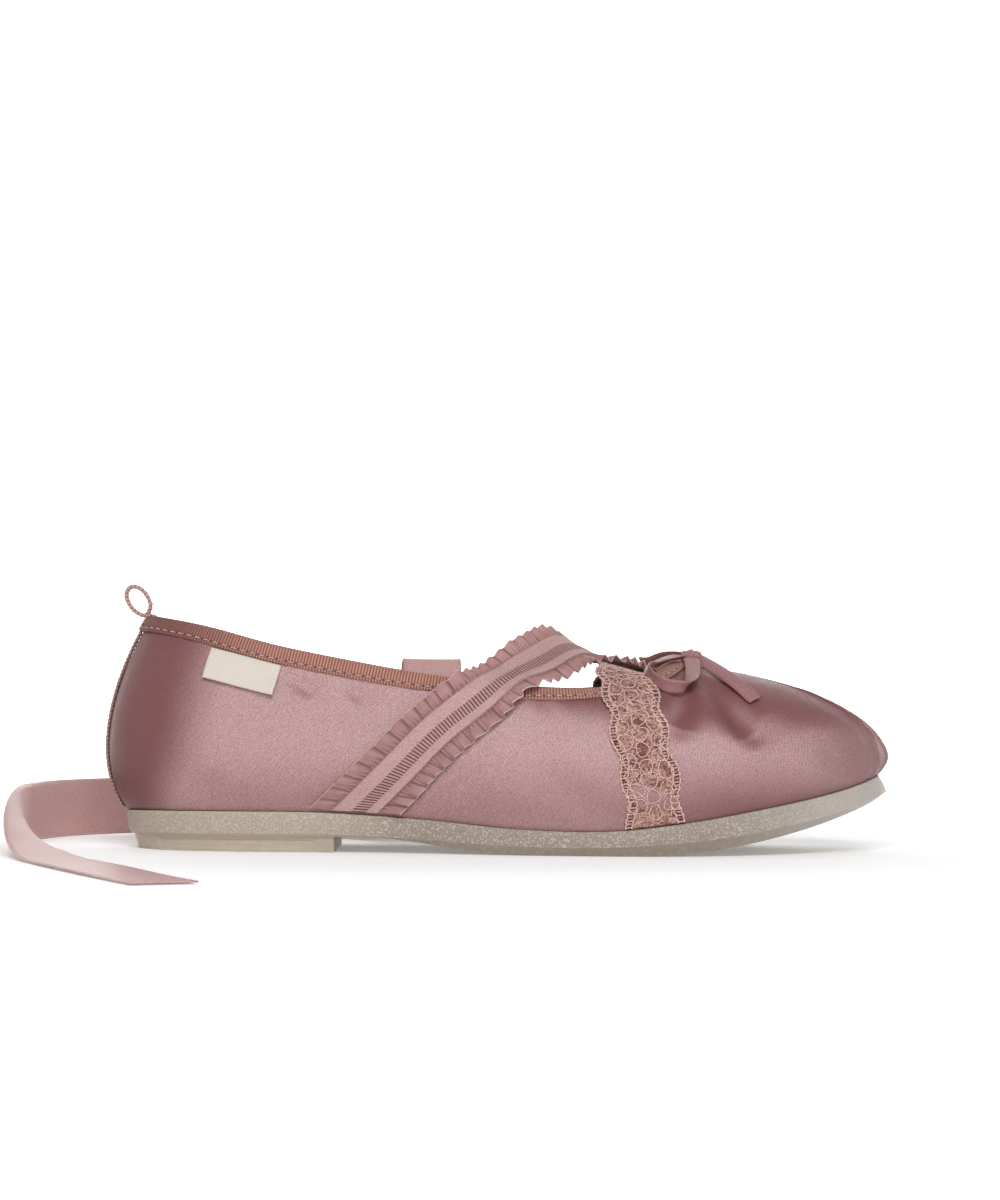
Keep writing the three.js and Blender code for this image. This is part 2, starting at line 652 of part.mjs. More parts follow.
// Keeps a strap point on the wall where the strap is held, and clear of wall and rim elsewhere
function settled(point, hold, room) {
  const SLACK = 0.25;
  const frame = nearestOnWall(point);
  if (frame.up >= 1) {
    const middle = raised(frame, -WALL / 2);
    const clear = WALL / 2 + OVER_BINDING + 2 * GAP + room;
    const off = point.clone().sub(middle);
    return off.length() < clear ? middle.addScaledVector(off.normalize(), clear) : point;
  }
  const height = liftAt(frame) + room + SLACK * frame.up;
  const off = point.clone().sub(frame.point).dot(frame.normal);
  return raised(frame, Math.max(height, off)).lerp(raised(frame, height), hold);
}

// Slant of the cross rows near a strap's end, which is cut along the edge of the sole
function endSlant(middle, along, wide, fromEnd) {
  if (fromEnd >= 1) {
    return 0;
  }
  const { onward } = nearestOnWall(middle);
  return ((1 - fromEnd) * onward.dot(along)) / onward.dot(wide);
}

function strapGeometry(route, { width, thickness }) {
  const CUT_ROWS = 2;
  const rows = route.map((row) => strapRow(row, thickness));
  const path = new THREE.CatmullRomCurve3(rows.map((row) => row.point));
  const facings = new THREE.CatmullRomCurve3(rows.map((row) => row.facing));
  const steps = (rows.length - 1) * STRAP_STEPS;
  const front = [];
  const back = [];
  for (let i = 0; i <= steps; i += 1) {
    const way = i / steps;
    const row = Math.min(Math.floor(i / STRAP_STEPS), rows.length - 2);
    const between = (name) => THREE.MathUtils.lerp(rows[row][name], rows[row + 1][name], i / STRAP_STEPS - row);
    const along = path.getTangent(way);
    const facing = facings.getPoint(way);
    facing.addScaledVector(along, -facing.dot(along)).normalize();
    const wide = along.clone().cross(facing);
    const middle = path.getPoint(way);
    const slant = endSlant(middle, along, wide, Math.min(i, steps - i) / (CUT_ROWS * STRAP_STEPS));
    const points = [];
    for (let j = 0; j < STRAP_ACROSS; j += 1) {
      const offset = (j / (STRAP_ACROSS - 1) - 0.5) * width;
      const point = middle.clone().addScaledVector(wide, offset).addScaledVector(along, offset * slant);
      points.push(settled(point, between('hold'), between('over') + thickness / 2));
    }
    front.push(points.map((point) => point.clone().addScaledVector(facing, thickness / 2)));
    back.push(points.map((point) => point.clone().addScaledVector(facing, -thickness / 2)));
  }
  return sheetGeometry(front, back);
}

// Closed solid from a geometry, and back
function toSolid(geometry) {
  const bare = geometry.clone();
  bare.deleteAttribute('normal');
  bare.deleteAttribute('uv');
  const merged = mergeVertices(bare);
  const vertProperties = new Float32Array(merged.attributes.position.array);
  const triVerts = new Uint32Array(merged.index.array);
  return new wasm.Manifold(new wasm.Mesh({ numProp: 3, vertProperties, triVerts }));
}
function fromSolid(solid) {
  const { vertProperties, triVerts } = solid.getMesh();
  const geometry = new THREE.BufferGeometry();
  geometry.setAttribute('position', new THREE.BufferAttribute(vertProperties, 3));
  geometry.setIndex(new THREE.BufferAttribute(triVerts, 1));
  geometry.computeVertexNormals();
  return geometry;
}

// Bow: each loop stands on edge over the vamp, the tails lie flat, the knot holds them together
function bowGeometry() {
  const [LOOP_STEPS, TAIL_STEPS, KNOT_ROUND, KNOT_RISE] = [24, 10, 12, 8];
  const knot = new THREE.SphereGeometry(0.5, KNOT_ROUND, KNOT_RISE);
  knot.scale(BOW_KNOT.length, BOW_KNOT.width, BOW_KNOT.height);
  knot.translate(BOW_KNOT.x, BOW_KNOT.y, BOW_KNOT.z);
  let bow = toSolid(knot);
  for (const [name, side] of [['near', -1], ['far', 1]]) {
    const stand = new THREE.Vector3(0, 0.72 * side, 0.69);
    const clear = (row) => settled(vector(row), 0, row.room);
    const loop = new THREE.CatmullRomCurve3(BOW_LOOPS[name].map(clear), true);
    bow = bow.add(toSolid(tapeGeometry(loop, () => stand.clone(), BOW_TAPE, LOOP_STEPS, true)));
    const tail = new THREE.CatmullRomCurve3(BOW_TAILS[name].map(clear));
    const flat = (way, along) => along.clone().cross(stand);
    bow = bow.add(toSolid(tapeGeometry(tail, flat, BOW_TAPE, TAIL_STEPS)));
  }
  return fromSolid(bow);
}

function ribbonGeometry() {
  const STEPS_PER_POINT = 2;
  const curve = new THREE.CatmullRomCurve3(RIBBON_ROUTE.map(vector));
  const widths = new THREE.CatmullRomCurve3(RIBBON_ROUTE.map(({ across }) => new THREE.Vector3(...across)));
  const steps = (RIBBON_ROUTE.length - 1) * STEPS_PER_POINT;
  return tapeGeometry(curve, (way) => widths.getPoint(way), RIBBON, steps);
}

const MATERIALS = {
  rubber: { color: 0xb2aa9b, roughness: 0.55, metalness: 0 },
  heelRubber: { color: 0xbeb6a0, roughness: 0.5, metalness: 0 },
  sock: { color: 0xc9ab9f, roughness: 0.85, metalness: 0 },
  satin: { color: 0xaf878a, roughness: 0.42, metalness: 0 },
  grosgrain: { color: 0xb47869, roughness: 0.8, metalness: 0 },
  braid: { color: 0xb98a7d, roughness: 0.8, metalness: 0 },
  elastic: { color: 0xa57873, roughness: 0.75, metalness: 0 },
  lace: { color: 0xa57d73, roughness: 0.85, metalness: 0 },
  bowTape: { color: 0x966e6c, roughness: 0.5, metalness: 0 },
  label: { color: 0xe1d7c8, roughness: 0.9, metalness: 0 },
  ribbon: { color: 0xc8a09c, roughness: 0.35, metalness: 0 },
};
const PIECES = [
  ['outsole', outsoleGeometry, 'rubber'],
  ['heel_block', heelBlockGeometry, 'heelRubber'],
  ['insole', insoleGeometry, 'sock'],
  ['upper', upperGeometry, 'satin'],
  ['collar_binding', bindingGeometry, 'grosgrain'],
  ['heel_tape', heelTapeGeometry, 'braid'],
  ['pull_loop', pullLoopGeometry, 'braid'],
  ['ruffle_strap', () => strapGeometry(RUFFLE_ROUTE, RUFFLE), 'elastic'],
  ['lace_strap', () => strapGeometry(LACE_ROUTE, LACE), 'lace'],
  ['bow', bowGeometry, 'bowTape'],
  ['side_label', labelGeometry, 'label'],
  ['ankle_ribbon', ribbonGeometry, 'ribbon'],
];

const balletFlat = new THREE.Group();
for (const [name, geometry, material] of PIECES) {
  const mesh = new THREE.Mesh(geometry(), new THREE.MeshStandardMaterial(MATERIALS[material]));
  mesh.name = name;
  balletFlat.add(mesh);
}
export default balletFlat;
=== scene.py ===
import math

import bpy
import numpy as np
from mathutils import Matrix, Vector


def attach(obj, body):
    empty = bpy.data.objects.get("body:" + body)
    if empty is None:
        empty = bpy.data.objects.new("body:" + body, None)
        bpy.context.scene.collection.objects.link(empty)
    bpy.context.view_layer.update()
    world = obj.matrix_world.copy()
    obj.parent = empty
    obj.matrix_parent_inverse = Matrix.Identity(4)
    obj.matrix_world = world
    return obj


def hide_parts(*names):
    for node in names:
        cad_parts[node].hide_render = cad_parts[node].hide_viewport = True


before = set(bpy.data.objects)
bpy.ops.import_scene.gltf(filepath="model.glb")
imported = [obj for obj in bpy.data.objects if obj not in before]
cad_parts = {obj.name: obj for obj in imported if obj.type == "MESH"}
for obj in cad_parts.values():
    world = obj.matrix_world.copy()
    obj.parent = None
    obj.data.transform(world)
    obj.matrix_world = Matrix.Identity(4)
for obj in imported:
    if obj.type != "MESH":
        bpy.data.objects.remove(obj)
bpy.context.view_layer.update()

# Lengths are in millimetres until a mesh is made
MM = 0.001
SEED = 7
random = np.random.default_rng(SEED)

# Driving dimensions, the same as in the solids
GAP = 0.3
WALL = 1.6
HEEL_HEIGHT = 5.0
HEEL_BREAST_X = -50.3
ARCH_START_X = -42.0
ARCH_END_X = 8.0
SPRING_START_X = 46.0
SPRING_END_X = 121.5
TOE_SPRING = 16.5
SPRING_POWER = 1.75
INSOLE_INSET = 2.4
INSOLE_THICKNESS = 2.4
BINDING_TAPE = 0.7
BINDING_OUTSIDE = 4.8
BINDING_INSIDE = 4.2
BINDING_CROWN = 0.7
OVER_BINDING = GAP + BINDING_TAPE + GAP
SOLE_FLANGE = 0.5
RUFFLE_WIDTH, RUFFLE_THICKNESS = 21.0, 1.2
LACE_WIDTH, LACE_THICKNESS = 18.0, 0.8
RIBBON_WIDTH = 19.0

# Detail that only the visual has
OUTER_SEAM = BINDING_OUTSIDE - 1.15
INNER_SEAM = BINDING_INSIDE - 1.1
BRAID_PITCH = 1.35
LACE_PICOT = 2.0
TOE_LIP = 0.8

# Featherline from the toe back to the heel: x, lateral y, medial y, z
FEATHER = [
    (122.4, 5, 5, 24.4),
    (118.8, -7, 16, 23),
    (110.5, -17.5, 25.5, 20.4),
    (97.5, -27, 33, 17.4),
    (80, -34.5, 37.3, 14),
    (59, -38.8, 38, 10.4),
    (34, -39.6, 34.8, 7.7),
    (6, -36.6, 29.5, 8.2),
    (-23, -32.2, 26.3, 10.8),
    (-52, -29, 26.3, 12.5),
    (-79, -27.5, 26.5, 12.7),
    (-101, -23, 22.5, 12.6),
    (-113, -13, 12.8, 12.3),
    (-117.4, 0, 0, 12),
]
# Rim of the upper from the throat back to the heel: x, lateral y, medial y, z
RIM = [
    (56, 3, 3, 59.4),
    (55.2, -4.5, 10, 58.8),
    (52.6, -11.3, 16, 57),
    (48, -17.2, 20.6, 54.6),
    (41, -22, 24, 52.4),
    (31, -25.8, 26.4, 51),
    (17, -28.3, 27, 51),
    (-3, -29, 26.3, 52.7),
    (-27, -28, 25, 55.8),
    (-51, -25.8, 24, 60),
    (-73, -23, 22, 64.5),
    (-93, -17.6, 17.2, 69.9),
    (-106, -9.2, 9.2, 72.5),
    (-111, 0, 0, 72.8),
]
# Swell of the wall: rise, swell, along, reach, drop
SWELL = [
    (17.2, 11.6, 0.572, 0, 1.6),
    (17.2, 11.2, 0.57, 0.6, 1.8),
    (17, 10, 0.56, 2, 2.2),
    (17, 8.5, 0.55, 3.6, 3),
    (17, 7, 0.52, 5.2, 4.2),
    (16.5, 5.6, 0.45, 6.3, 5.8),
    (15.5, 4.6, 0.3, 6.6, 8),
    (14.5, 4.3, 0.2, 6, 10.5),
    (14, 4.6, 0.15, 5, 13),
    (14, 5.2, 0.15, 4.8, 15.5),
    (14, 6.2, 0.2, 5.2, 18),
    (14, 8, 0.25, 7, 20.5),
    (14, 10.2, 0.3, 10, 22.2),
    (13.8, 11.1, 0.3, 11.1, 22.6),
]
# Side of the sole: wall, flare, tuck
SOLE_SIDE = [
    (5.2, 1.9, 3.2),
    (5.2, 1.8, 3.2),
    (5.6, 1.6, 3),
    (6.2, 1.4, 2.8),
    (6.4, 1.2, 2.6),
    (6, 1, 2.4),
    (4.9, 0.8, 2.2),
    (5.3, 0.6, 1.8),
    (6.2, 0.3, 1.2),
    (6.6, 0, 0.9),
    (6.8, -0.3, 0.8),
    (6.8, -0.6, 0.8),
    (6.6, -0.8, 0.8),
    (6.4, -0.9, 0.8),
]

# Strap rows: on the wall (side, x, z, over), on the rim (side, x, rim, over, fall, out)
# or in the air (x, y, z, fall, tilt). rim is the height above the rim and over an extra clearance;
# fall, tilt and out turn the face to the toe, to the medial side and away from the wall.
# The soft straps and the bow lie up to a few millimetres from their solids
RUFFLE_ROUTE = [
    {"side": -1, "x": -43.5, "z": 13.4},
    {"side": -1, "x": -31, "z": 25.5},
    {"side": -1, "x": -18, "z": 38.6},
    {"side": -1, "x": -6, "z": 47.6},
    {"side": -1, "x": 3, "rim": 2.6, "fall": 0.1, "out": 2.2},
    {"x": 13.8, "y": -17, "z": 60.6, "fall": 0.45, "tilt": -1.2},
    {"x": 23.9, "y": -2, "z": 65.5, "fall": 0.6, "tilt": -0.3},
    {"x": 35.4, "y": 12.2, "z": 60, "fall": 0.38, "tilt": 0.4},
    {"side": 1, "x": 46.6, "rim": 3.6, "over": 1.6},
    {"side": 1, "x": 55, "z": 47, "over": 1.5},
    {"side": 1, "x": 63, "z": 36, "over": 0.5},
    {"side": 1, "x": 69.4, "z": 24.6},
    {"side": 1, "x": 73.6, "z": 13.6},
]
LACE_ROUTE = [
    {"side": -1, "x": 49, "z": 9.8},
    {"side": -1, "x": 48, "z": 22},
    {"side": -1, "x": 44.9, "z": 34},
    {"side": -1, "x": 42.9, "z": 45},
    {"side": -1, "x": 41.4, "rim": 2.4},
    {"x": 40.6, "y": -10.5, "z": 57, "fall": 0.22, "tilt": -0.35},
    {"x": 40.4, "y": 1.5, "z": 57.6, "fall": 0.3},
    {"x": 41.8, "y": 13, "z": 55.6, "fall": 0.2, "tilt": 0.4},
    {"side": 1, "x": 41.8, "rim": 2.6, "fall": 0.1},
    {"side": 1, "x": 41.6, "z": 43.5},
    {"side": 1, "x": 41.4, "z": 32},
    {"side": 1, "x": 42, "z": 20.4},
    {"side": 1, "x": 43.4, "z": 9.4},
]

# Pull loop in the middle plane: x, z
LOOP_ROUTE = [
    (-112.6, 74.1),
    (-111, 77),
    (-112.2, 80.4),
    (-114.6, 82.8),
    (-117.2, 83.2),
    (-118.7, 81.2),
    (-118.1, 78.2),
    (-115.9, 75.4),
]

# Bow: x, y, z, the room kept under the point and, in the loops, the direction of the tape's width.
# The far tail is the near one mirrored in the middle
BOW_KNOT = {"middle": (62.4, 1.8, 61.9), "size": (7.4, 7.2, 4.8)}
BOW_TAPE_WIDTH, BOW_TAPE_THICKNESS = 4.3, 0.9
BOW_LOOPS = {
    "near": [
        (61, 2.4, 62.2, 0.6, 0.87, -0.5, 0),
        (55.4, -4.8, 61, 1, 0.87, -0.5, 0),
        (50.2, -13.6, 57.8, 1.4, 0.8, -0.5, 0.3),
        (47.9, -20.4, 54.2, 2.6, 0.1, -0.6, 0.8),
        (52, -25.2, 49.8, 2.6, 0, -0.5, 0.86),
        (58.4, -24.6, 49.4, 2.2, 0.45, -0.45, 0.77),
        (61.5, -16, 54.4, 1.4, 1, -0.1, 0.1),
        (62, -6, 59.8, 1.2, 1, 0, 0),
    ],
    "far": [
        (61, 3.6, 62.2, 0.6, 0.4, -0.9, 0.2),
        (54.8, 9.4, 61, 1, -0.5, -0.6, 0.6),
        (50, 14.2, 59.8, 1.6, -0.55, -0.4, 0.7),
        (48, 19, 59.2, 2.8, -0.6, 0.2, 0.75),
        (52.4, 23.2, 58.8, 4, -0.3, 0.6, 0.7),
        (58.4, 22.6, 59, 4.2, 0.3, 0.6, 0.7),
        (62, 16.6, 59.8, 2.6, 0.85, 0.25, 0.45),
        (62, 9, 60.6, 1.4, 0.95, -0.05, 0.3),
    ],
}
BOW_TAIL = [
    (63.8, 1, 61.8, 0.8),
    (69.4, -7.2, 58.4, 0.7),
    (75.4, -16.2, 53.4, 0.7),
    (80.8, -22.4, 47.4, 0.6),
]
BOW_MIDDLE_Y = 3.0

# Ankle ribbon: point and direction of its width
RIBBON_ROUTE = [
    ((-21, 21.4, 42), (1, 0, 0)),
    ((-21, 21.2, 50), (1, 0, 0)),
    ((-21, 22.3, 57.6), (1, 0, 0)),
    ((-21.4, 26.2, 60.6), (1, 0, 0)),
    ((-22, 31, 57), (1, 0, 0)),
    ((-22.6, 36, 47.4), (0.98, 0.2, 0)),
    ((-23.6, 40.4, 36), (0.9, 0.44, 0)),
    ((-25.6, 44.6, 24), (0.78, 0.62, 0)),
    ((-29.4, 49, 12), (0.7, 0.71, 0)),
    ((-37, 56, 4), (0.68, 0.73, 0)),
    ((-47, 64.6, 1.3), (0.64, 0.77, 0.03)),
    ((-58.5, 73, 2.8), (0.54, 0.82, 0.2)),
    ((-72, 80.4, 6.4), (0.38, 0.72, 0.58)),
    ((-88, 85.4, 9.6), (0.14, 0.36, 0.92)),
    ((-103, 84, 10.2), (0, 0.05, 1)),
    ((-119, 78, 10.2), (0, 0, 1)),
    ((-132.6, 66.6, 10.2), (0, 0, 1)),
    ((-142.6, 51, 10.2), (0, 0, 1)),
    ((-148.6, 33, 10.2), (0, 0, 1)),
    ((-150.6, 14, 10.2), (0, 0, 1)),
    ((-149.8, -5, 10.2), (-0.16, 0, 0.98)),
    ((-147, -23.6, 8.9), (-0.5, 0, 0.85)),
    ((-142.8, -41.6, 6.1), (-0.82, -0.1, 0.55)),
    ((-137.6, -59.4, 2.8), (-0.96, -0.2, 0.2)),
    ((-131.4, -77, 1), (-0.95, -0.32, 0.02)),
    ((-124.6, -94.6, 0.8), (-0.93, -0.36, 0)),
    ((-117.4, -112, 0.8), (-0.92, -0.38, 0)),
    ((-110, -129.4, 0.8), (-0.92, -0.39, 0)),
    ((-102.4, -146.8, 0.8), (-0.91, -0.41, 0)),
    ((-94.6, -164, 0.8), (-0.91, -0.41, 0)),
    ((-86.6, -181.2, 0.8), (-0.91, -0.42, 0)),
]

# Closed columns through the section rows, lateral side first
LAST_ROW = len(FEATHER) - 1
TURN = 2 * LAST_ROW


def around(table, lateral, medial):
    out = [row[lateral] for row in table]
    back = [row[medial] for row in table[LAST_ROW - 1:0:-1]]
    return np.array(out + back, float)


COLUMNS = {
    "foot_x": around(FEATHER, 0, 0),
    "foot_y": around(FEATHER, 1, 2),
    "foot_z": around(FEATHER, 3, 3),
    "rim_x": around(RIM, 0, 0),
    "rim_y": around(RIM, 1, 2),
    "rim_z": around(RIM, 3, 3),
}
for place, name in enumerate(("rise", "swell", "along", "reach", "drop")):
    COLUMNS[name] = around(SWELL, place, place)
for place, name in enumerate(("wall", "flare", "tuck")):
    COLUMNS[name] = around(SOLE_SIDE, place, place)


def weights(f):
    """Shares of four neighbours in a smooth value between the middle two."""
    return [0.5 * (-f + 2 * f ** 2 - f ** 3), 0.5 * (2 - 5 * f ** 2 + 3 * f ** 3),
            0.5 * (f + 4 * f ** 2 - 3 * f ** 3), 0.5 * (f ** 3 - f ** 2)]


def column(name, at):
    """Smooth value of a closed column at fractional rows."""
    row = np.floor(at).astype(int)
    return sum(share * COLUMNS[name][(row + k - 1) % TURN] for k, share in enumerate(weights(at - row)))


def unit(vectors):
    return vectors / np.maximum(np.linalg.norm(vectors, axis=-1, keepdims=True), 1e-9)


def dot(a, b):
    return (a * b).sum(-1)


def smoothstep(x, low, high):
    t = np.clip((x - low) / (high - low), 0, 1)
    return t * t * (3 - 2 * t)


def window(x, rise_start, rise_end, fall_start, fall_end):
    """Rises softly from 0 to 1 and falls again."""
    return smoothstep(x, rise_start, rise_end) * (1 - smoothstep(x, fall_start, fall_end))


def bell(x, width):
    return np.exp(-(x / width) ** 2)


def waves(x, table):
    """Sum of waves: height, rate and shift of each."""
    return sum(height * np.sin(rate * x + shift) for height, rate, shift in table)


def toe_rows(at):
    """Rows counted from the toe, below 0 on the medial side."""
    return (at + LAST_ROW) % TURN - LAST_ROW


def outward(at):
    """Level direction square to the featherline, away from the foot."""
    step = 0.05
    dx = column("foot_x", at + step) - column("foot_x", at - step)
    dy = column("foot_y", at + step) - column("foot_y", at - step)
    return unit(np.stack([-dy, dx, np.zeros_like(dx)], -1))


def wall_point(at, up):
    """The upper's outer face: at goes round by rows, up goes from 0 at the sole to 1 at the rim."""
    at, up = np.broadcast_arrays(np.asarray(at, float), np.asarray(up, float))
    out = outward(at)
    foot = np.stack([column("foot_x", at), column("foot_y", at), column("foot_z", at) + GAP], -1)
    rim = np.stack([column("rim_x", at), column("rim_y", at), column("rim_z", at)], -1)
    low = foot + out * column("swell", at)[..., None]
    low[..., 2] += column("rise", at)
    along = column("along", at)[..., None]
    high = rim + (foot - rim) * along + out * column("reach", at)[..., None]
    high[..., 2] = rim[..., 2] - column("drop", at)
    u = up[..., None]
    d = 1 - u
    return foot * d ** 3 + low * 3 * d * d * u + high * 3 * d * u * u + rim * u ** 3


def wall_frame(at, up):
    """Point, directions along the rows and up the wall, and outward normal."""
    step = 0.01
    point = wall_point(at, up)
    onward = (wall_point(at + step, up) - wall_point(at - step, up)) / (2 * step)
    upward = (wall_point(at, up + step) - wall_point(at, up - step)) / (2 * step)
    return point, onward, upward, unit(np.cross(upward, onward))


SAMPLE_AT, SAMPLE_UP = (grid.ravel() for grid in np.meshgrid(
    np.arange(0, TURN, 0.5), np.array([0.05, 0.2, 0.35, 0.5, 0.65, 0.8, 0.95])))
SAMPLES = wall_point(SAMPLE_AT, SAMPLE_UP)


def nearest_on_wall(targets):
    """Rows and heights of the wall points nearest to the targets."""
    rounds, chunk = 10, 2000
    shape = targets.shape[:-1]
    flat = targets.reshape(-1, 3)
    best = np.concatenate([
        ((flat[i:i + chunk, None] - SAMPLES) ** 2).sum(-1).argmin(1) for i in range(0, len(flat), chunk)
    ])
    at, up = SAMPLE_AT[best].copy(), SAMPLE_UP[best].copy()
    for _ in range(rounds):
        point, a, b, _ = wall_frame(at, up)
        off = flat - point
        aa, ab, bb = dot(a, a), dot(a, b), dot(b, b)
        ra, rb = dot(off, a), dot(off, b)
        new_up = np.clip(up + (rb * aa - ra * ab) / (aa * bb - ab * ab), 0, 1)
        at = at + np.clip((ra - ab * (new_up - up)) / aa, -0.5, 0.5)
        up = new_up
    return at.reshape(shape), up.reshape(shape)


def seat_on_wall(side, x, z):
    """Row and height of the wall point of one side at a length x and a height z."""
    rounds = 12
    x, z = np.broadcast_arrays(np.asarray(x, float), np.asarray(z, float))
    good = SAMPLES[:, 1] * side > 0
    far = np.hypot(SAMPLES[good, 0] - x[..., None], SAMPLES[good, 2] - z[..., None])
    best = far.argmin(-1)
    at, up = SAMPLE_AT[good][best].copy(), SAMPLE_UP[good][best].copy()
    for _ in range(rounds):
        point, a, b, _ = wall_frame(at, up)
        size = a[..., 0] * b[..., 2] - a[..., 2] * b[..., 0]
        dx, dz = x - point[..., 0], z - point[..., 2]
        at = at + np.clip((dx * b[..., 2] - dz * b[..., 0]) / size, -0.5, 0.5)
        up = up + np.clip((dz * a[..., 0] - dx * a[..., 2]) / size, -0.2, 0.2)
    return at, up


def rim_frame(at):
    """Rim point, outward normal, and the direction that leaves the wall there."""
    point, onward, upward, normal = wall_frame(at, np.ones_like(at))
    leave = unit(np.cross(onward, normal))
    return point, normal, leave * np.sign(dot(leave, upward))[..., None]


def row_at_length(name, x):
    """Lateral row where a column of lengths, which falls from the toe to the heel, passes x."""
    rounds = 40
    front, back = 0.0, float(LAST_ROW)
    for _ in range(rounds):
        middle = (front + back) / 2
        if column(name, np.array(middle)) > x:
            front = middle
        else:
            back = middle
    return front


def rim_at_length(side, x):
    row = row_at_length("rim_x", x)
    return np.array(row if side < 0 else TURN - row)


def lift_at(up, upward):
    """Clearance that a piece on the wall keeps: more where the folded tape lies under it."""
    ramp = 4
    below = (1 - up) * np.linalg.norm(upward, axis=-1)
    clear = smoothstep(below, BINDING_OUTSIDE + 1, BINDING_OUTSIDE + 1 + ramp)
    return OVER_BINDING + (GAP - OVER_BINDING) * clear


def settled(points, hold, room):
    """Keeps points on the wall where they are held, and clear of wall and rim elsewhere."""
    slack = 0.25
    at, up = nearest_on_wall(points)
    point, _, upward, normal = wall_frame(at, up)
    height = lift_at(up, upward) + room + slack * up
    off = np.maximum(height, dot(points - point, normal))
    seat = point + normal * (off + (height - off) * hold)[..., None]
    middle = point - normal * (WALL / 2)
    away = points - middle
    clear = (WALL / 2 + OVER_BINDING + 2 * GAP + room)[..., None]
    far = np.linalg.norm(away, axis=-1, keepdims=True)
    over = np.where(far < clear, middle + unit(away) * clear, points)
    return np.where((up >= 1)[..., None], over, seat)


def spline(points, steps, closed=False):
    """Centripetal curve through points, with a number of steps to each stretch."""
    p = np.asarray(points, float)
    if closed:
        p = np.concatenate([p[-1:], p, p[:2]])
    else:
        p = np.concatenate([2 * p[:1] - p[1:2], p, 2 * p[-1:] - p[-2:-1]])
    p0, p1, p2, p3 = p[:-3, None], p[1:-2, None], p[2:-1, None], p[3:, None]
    pairs = ((p0, p1), (p1, p2), (p2, p3))
    gaps = [np.sqrt(np.linalg.norm(b - a, axis=-1, keepdims=True)) for a, b in pairs]
    tiny = 1e-2
    g1 = np.where(gaps[1] < tiny, 1.0, gaps[1])
    g0 = np.where(gaps[0] < tiny, g1, gaps[0])
    g2 = np.where(gaps[2] < tiny, g1, gaps[2])
    t1 = ((p1 - p0) / g0 - (p2 - p0) / (g0 + g1) + (p2 - p1) / g1) * g1
    t2 = ((p2 - p1) / g1 - (p3 - p1) / (g1 + g2) + (p3 - p2) / g2) * g1
    t = (np.arange(steps) / steps)[None, :, None]
    curve = p1 + t1 * t + (3 * (p2 - p1) - 2 * t1 - t2) * t ** 2 + (2 * (p1 - p2) + t1 + t2) * t ** 3
    curve = curve.reshape(-1, p.shape[-1])
    return curve if closed else np.concatenate([curve, p[-2:-1]])


def lengths_along(points):
    return np.concatenate([[0], np.cumsum(np.linalg.norm(np.diff(points, axis=0), axis=-1))])


def slope(points, closed=False):
    if closed:
        return unit(np.roll(points, -1, 0) - np.roll(points, 1, 0))
    return unit(np.gradient(points, axis=0))


def resample(points, far, places):
    """Points of a line at some lengths along it."""
    return np.stack([np.interp(places, far, points[:, k]) for k in range(points.shape[1])], -1)


def bridge(first, second, columns):
    """Straight rows of points from one line to another."""
    part = np.linspace(0, 1, columns)[None, :, None]
    return first[:, None] * (1 - part) + second[:, None] * part


def lattice(along, across):
    """Flat coordinates of a grid, from one value for each row and one for each column."""
    return np.stack(np.broadcast_arrays(along[:, None], across[None]), -1)


# Meshes
def grid_faces(rows, columns, loop_rows=False, loop_columns=False):
    i, j = np.meshgrid(np.arange(rows if loop_rows else rows - 1),
                       np.arange(columns if loop_columns else columns - 1), indexing="ij")
    i2, j2 = (i + 1) % rows, (j + 1) % columns
    corners = [i * columns + j, i * columns + j2, i2 * columns + j2, i2 * columns + j]
    return np.stack(corners, -1).reshape(-1, 4)


def link(obj):
    bpy.context.scene.collection.objects.link(obj)
    return obj


